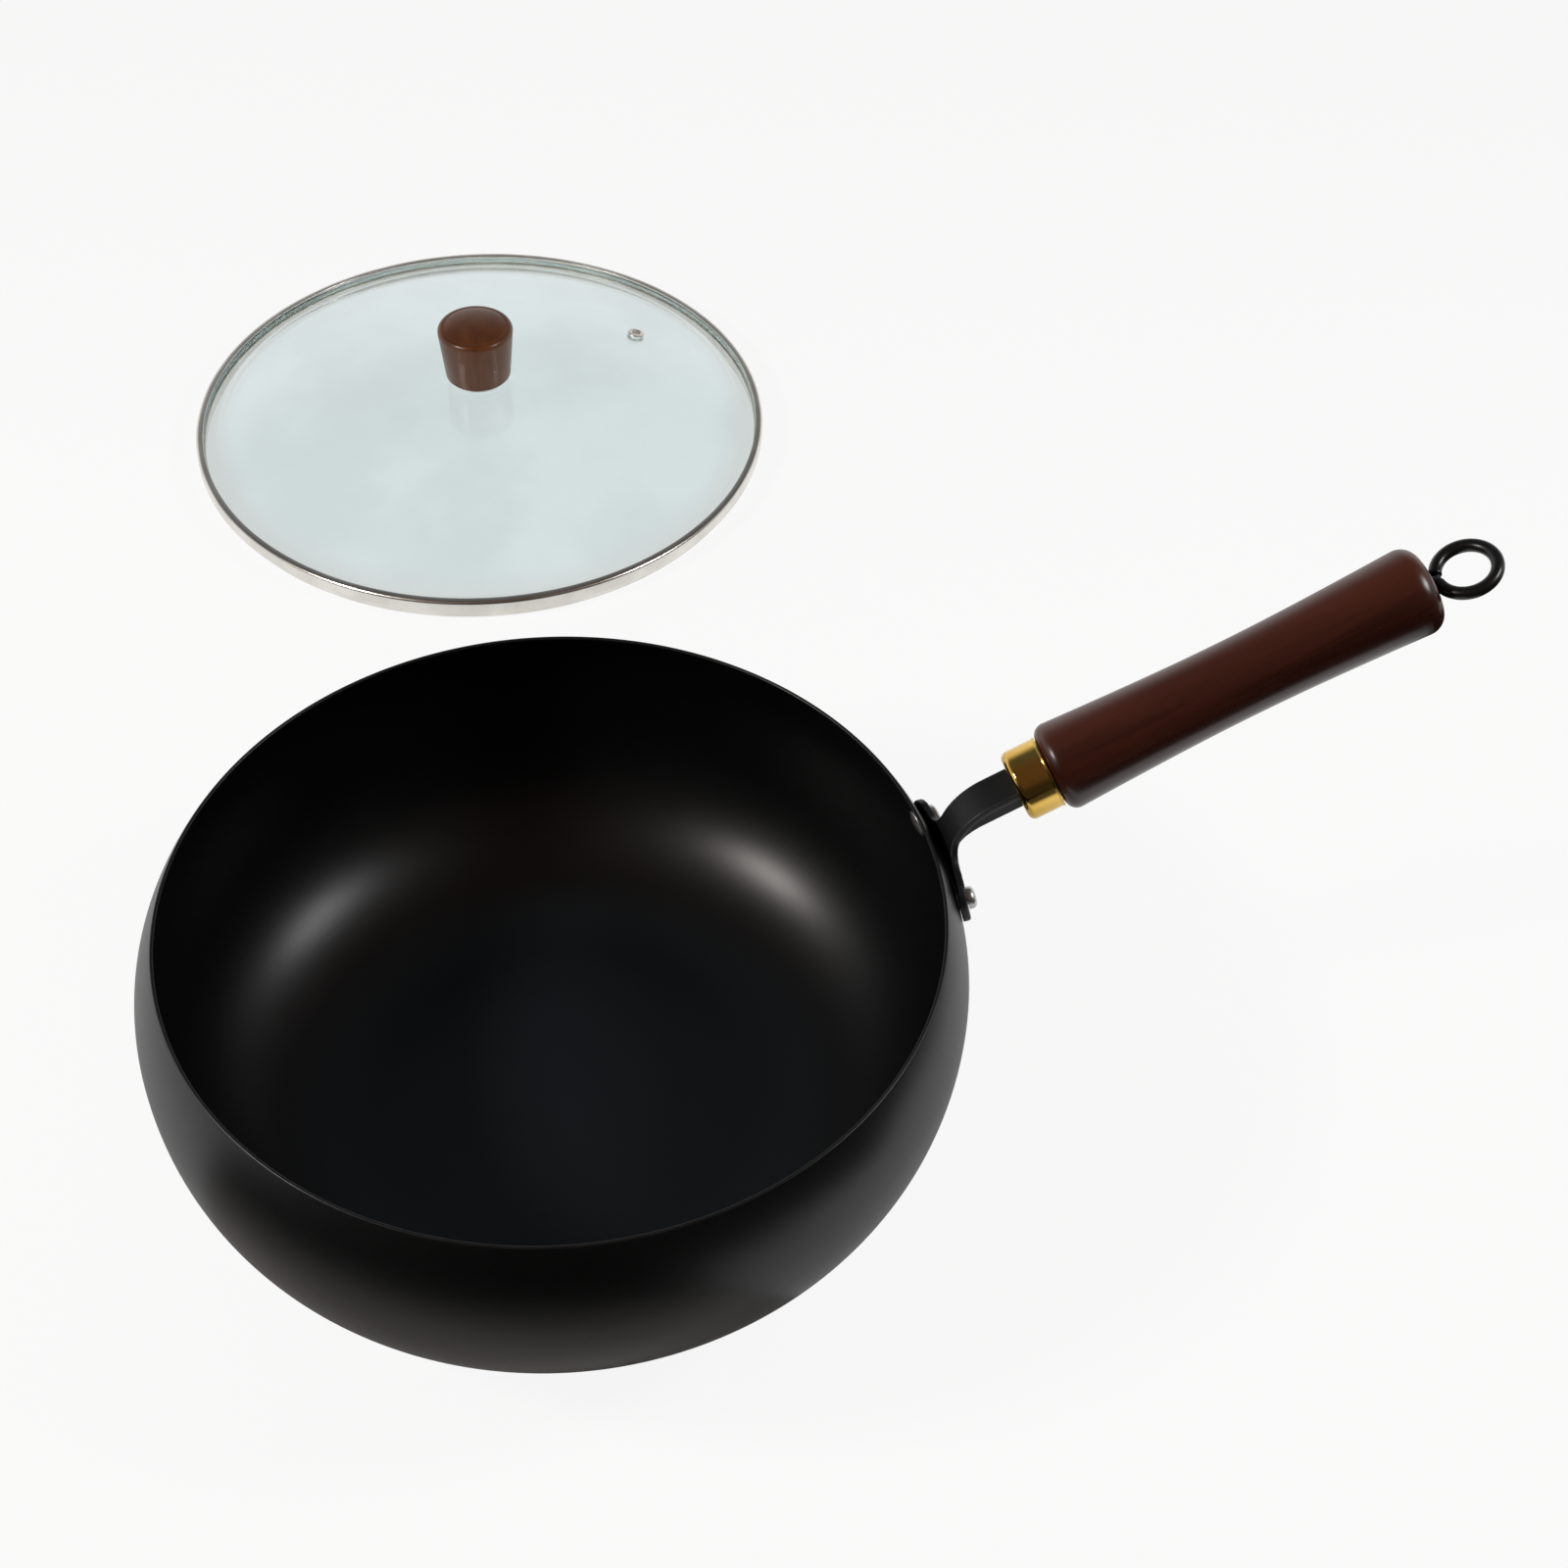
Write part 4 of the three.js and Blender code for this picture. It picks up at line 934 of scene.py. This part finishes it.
def sweepFinish():  # white to the camera and through glass, painted darker in gloss, glowing at the far back, plain paint otherwise
    finish = bpy.data.materials.new("whiteSweep")
    finish.use_nodes = True
    tree = finish.node_tree
    tree.nodes.remove(tree.nodes["Principled BSDF"])
    cloud = speckle(tree, ownPlace(tree), sweepLook["cloudScale"], sweepLook["cloudDetail"])
    tone = blendColours(tree, cloud, sweepLook["dark"], sweepLook["light"])
    matte = addNode(tree, "BsdfDiffuse", {"Color": tone}).outputs[0]
    path = addNode(tree, "LightPath").outputs
    place = addNode(tree, "TexCoord").outputs["Object"]
    away = addNode(tree, "VectorMath", {0: place}, operation="LENGTH").outputs["Value"]
    parts = addNode(tree, "SeparateXYZ", {0: place}).outputs
    top = spread(tree, parts[2], *sweepLook["top"], 1.0, sweepLook["topDim"])
    near = spread(tree, away, *sweepLook["near"], sweepLook["nearDim"], 1.0)
    end = spread(tree, parts[1], *sweepLook["glossFrontShade"], sweepLook["endDim"], 1.0)
    gloss = sums(tree, "MULTIPLY", sums(tree, "MULTIPLY", top, near), end)
    direct = sums(tree, "MAXIMUM", path["Is Camera Ray"], path["Is Transmission Ray"])
    shown = sums(tree, "MAXIMUM", direct, path["Is Glossy Ray"])
    strength = sums(tree, "MAXIMUM", direct, gloss)
    glow = addNode(tree, "Emission", {"Color": (1, 1, 1, 1), "Strength": strength}).outputs[0]
    backGlow = spread(tree, parts[1], *sweepLook["backGlow"], 0.0, 1.0)
    share = sums(tree, "MULTIPLY", sums(tree, "MAXIMUM", shown, backGlow), sweepLook["glow"])
    mixed = addNode(tree, "MixShader", {0: share, 1: matte, 2: glow}).outputs[0]
    tree.links.new(mixed, tree.nodes["Material Output"].inputs[0])
    return finish


def makeSweep():
    bend, back, half = sweepCut["bend"], sweepCut["back"], sweepCut["halfWidth"]
    profile = [(sweepCut["front"], 0)] + arc((back, bend), bend, -pi / 2, 0, sweepCut["bendSteps"])
    profile += [(back + bend, sweepCut["height"])]
    shape = bmesh.new()
    rows = [[shape.verts.new((x, y, z)) for x in (-half, half)] for y, z in profile]
    for low, high in zip(rows, rows[1:]):
        shape.faces.new((low[0], low[1], high[1], high[0]))
    sweep = addObject("sweep", finishMesh(shape, "sweep"))
    sweep.data.materials.append(sweepFinish())


flags = {"panFlag": {"x": (-0.9, 0.07), "y": (-8, -0.035)}, "gripFlag": {"x": (0.27, 1.6), "y": (-8, -0.21)},
         "endFlag": {"x": (0.46, 0.95), "y": (-0.3, 0.15)}}
flagLook = {"height": 0.0005, "fade": (0.17, 0.36), "light": (0.68, 0.68, 0.68, 1),
            "dark": (0.02, 0.02, 0.02, 1), "shine": 0.0, "roughness": 0.9}


def flagFinish():  # painted reflection: paler close to the pan, standing in for the bright floor there, darker further out
    finish, tree, inputs = newFinish("paintedReflectionSheet", {"Specular IOR Level": flagLook["shine"],
                                                   "Roughness": flagLook["roughness"]})
    ground = addNode(tree, "TexCoord").outputs["Object"]
    away = addNode(tree, "VectorMath", {0: ground}, operation="LENGTH").outputs["Value"]
    fade = spread(tree, away, *flagLook["fade"], 0.0, 1.0)
    tree.links.new(blendColours(tree, fade, flagLook["light"], flagLook["dark"]), inputs["Base Color"])
    return finish


def makeFlags():  # dark sheets on the floor, seen only in gloss: painted dark reflections on the pan's front, the grip's underside and the handle's end
    finish = flagFinish()
    for name, cut in flags.items():
        (left, right), (near, far) = cut["x"], cut["y"]
        shape = bmesh.new()
        corners = ((left, near), (right, near), (right, far), (left, far))
        shape.faces.new([shape.verts.new((x, y, flagLook["height"])) for x, y in corners])
        flag = addObject(name, finishMesh(shape, name))
        flag.data.materials.append(finish)
        flag.visible_camera = flag.visible_diffuse = flag.visible_transmission = flag.visible_shadow = False


boxes = {"leftBox": {"bearing": 180, "height": 41.5, "away": 1.3, "size": (0.3, 0.17), "power": 8.3,
                     "color": (1, 0.95, 0.91)},
         "rightBox": {"bearing": -14, "height": 41, "away": 1.3, "size": (0.32, 0.26), "power": 4.5,
                      "color": (1, 1, 1)}}
boxAim = Vector((0, 0, 0.03))


def makeLights():
    for name, look in boxes.items():
        lamp = bpy.data.lights.new(name, "AREA")
        lamp.shape = "RECTANGLE"
        lamp.size, lamp.size_y = look["size"]
        lamp.energy = look["power"]
        lamp.color = look["color"]
        bearing, height = radians(look["bearing"]), radians(look["height"])
        out = Vector((cos(bearing) * cos(height), sin(bearing) * cos(height), sin(height)))
        box = addObject(name, lamp)
        box.location = boxAim + out * look["away"]
        box.rotation_euler = out.to_track_quat("Z", "Y").to_euler()
        box.visible_camera = False


roomLook = {"front": (0.035, 0.03, 0.028, 1), "frontTop": (0.095, 0.062, 0.047, 1), "topFrom": (0.3, 0.65),
            "above": (0.09, 0.105, 0.12, 1), "aboveFrom": (0.0, 0.8), "sides": (0.9, 0.92, 0.94, 1),
            "sideFrom": (-0.5, 0.2), "sideTop": (0.2, 0.62), "seen": (0.93, 0.93, 0.93, 1)}


def makeRoom():  # dark in front, pale low at the sides and back, plain white where it is seen directly
    room = bpy.data.worlds.new("room")
    room.use_nodes = True
    tree = room.node_tree
    parts = addNode(tree, "SeparateXYZ", {0: addNode(tree, "TexCoord").outputs["Generated"]}).outputs
    above = spread(tree, parts[1], *roomLook["aboveFrom"], 0.0, 1.0)
    beside = sums(tree, "MULTIPLY", spread(tree, parts[1], *roomLook["sideFrom"], 0.0, 1.0),
                  spread(tree, parts[2], *roomLook["sideTop"], 1.0, 0.0))
    high = spread(tree, parts[2], *roomLook["topFrom"], 0.0, 1.0)
    front = blendColours(tree, high, roomLook["front"], roomLook["frontTop"])
    tone = blendColours(tree, above, front, roomLook["above"])
    tone = blendColours(tree, beside, tone, roomLook["sides"])
    path = addNode(tree, "LightPath").outputs
    seen = sums(tree, "MAXIMUM", path["Is Camera Ray"], path["Is Transmission Ray"])
    tone = blendColours(tree, seen, tone, roomLook["seen"])
    tree.links.new(tone, tree.nodes["Background"].inputs[0])
    bpy.context.scene.world = room


cameraCut = {"at": (-96.64, -573.76, 803.95), "down": 46.6838, "turn": -18, "roll": 2.48055, "lens": 54,
             "sensor": 36, "clip": (0.01, 100)}  # "at" is in millimetres, "clip" in metres


def makeCamera():
    data = bpy.data.cameras.new("camera")
    data.lens, data.sensor_width = cameraCut["lens"], cameraCut["sensor"]
    data.clip_start, data.clip_end = cameraCut["clip"]
    camera = addObject("camera", data)
    camera.matrix_world = (Matrix.Translation(Vector(cameraCut["at"]) * mm)
                           @ Matrix.Rotation(radians(cameraCut["turn"]), 4, "Z")
                           @ Matrix.Rotation(radians(90 - cameraCut["down"]), 4, "X")
                           @ Matrix.Rotation(radians(cameraCut["roll"]), 4, "Z"))
    bpy.context.scene.camera = camera


makeSweep()
makeFlags()
makeLights()
makeRoom()
makeCamera()
bpy.context.scene.view_settings.view_transform = "Standard"
print("studio made")
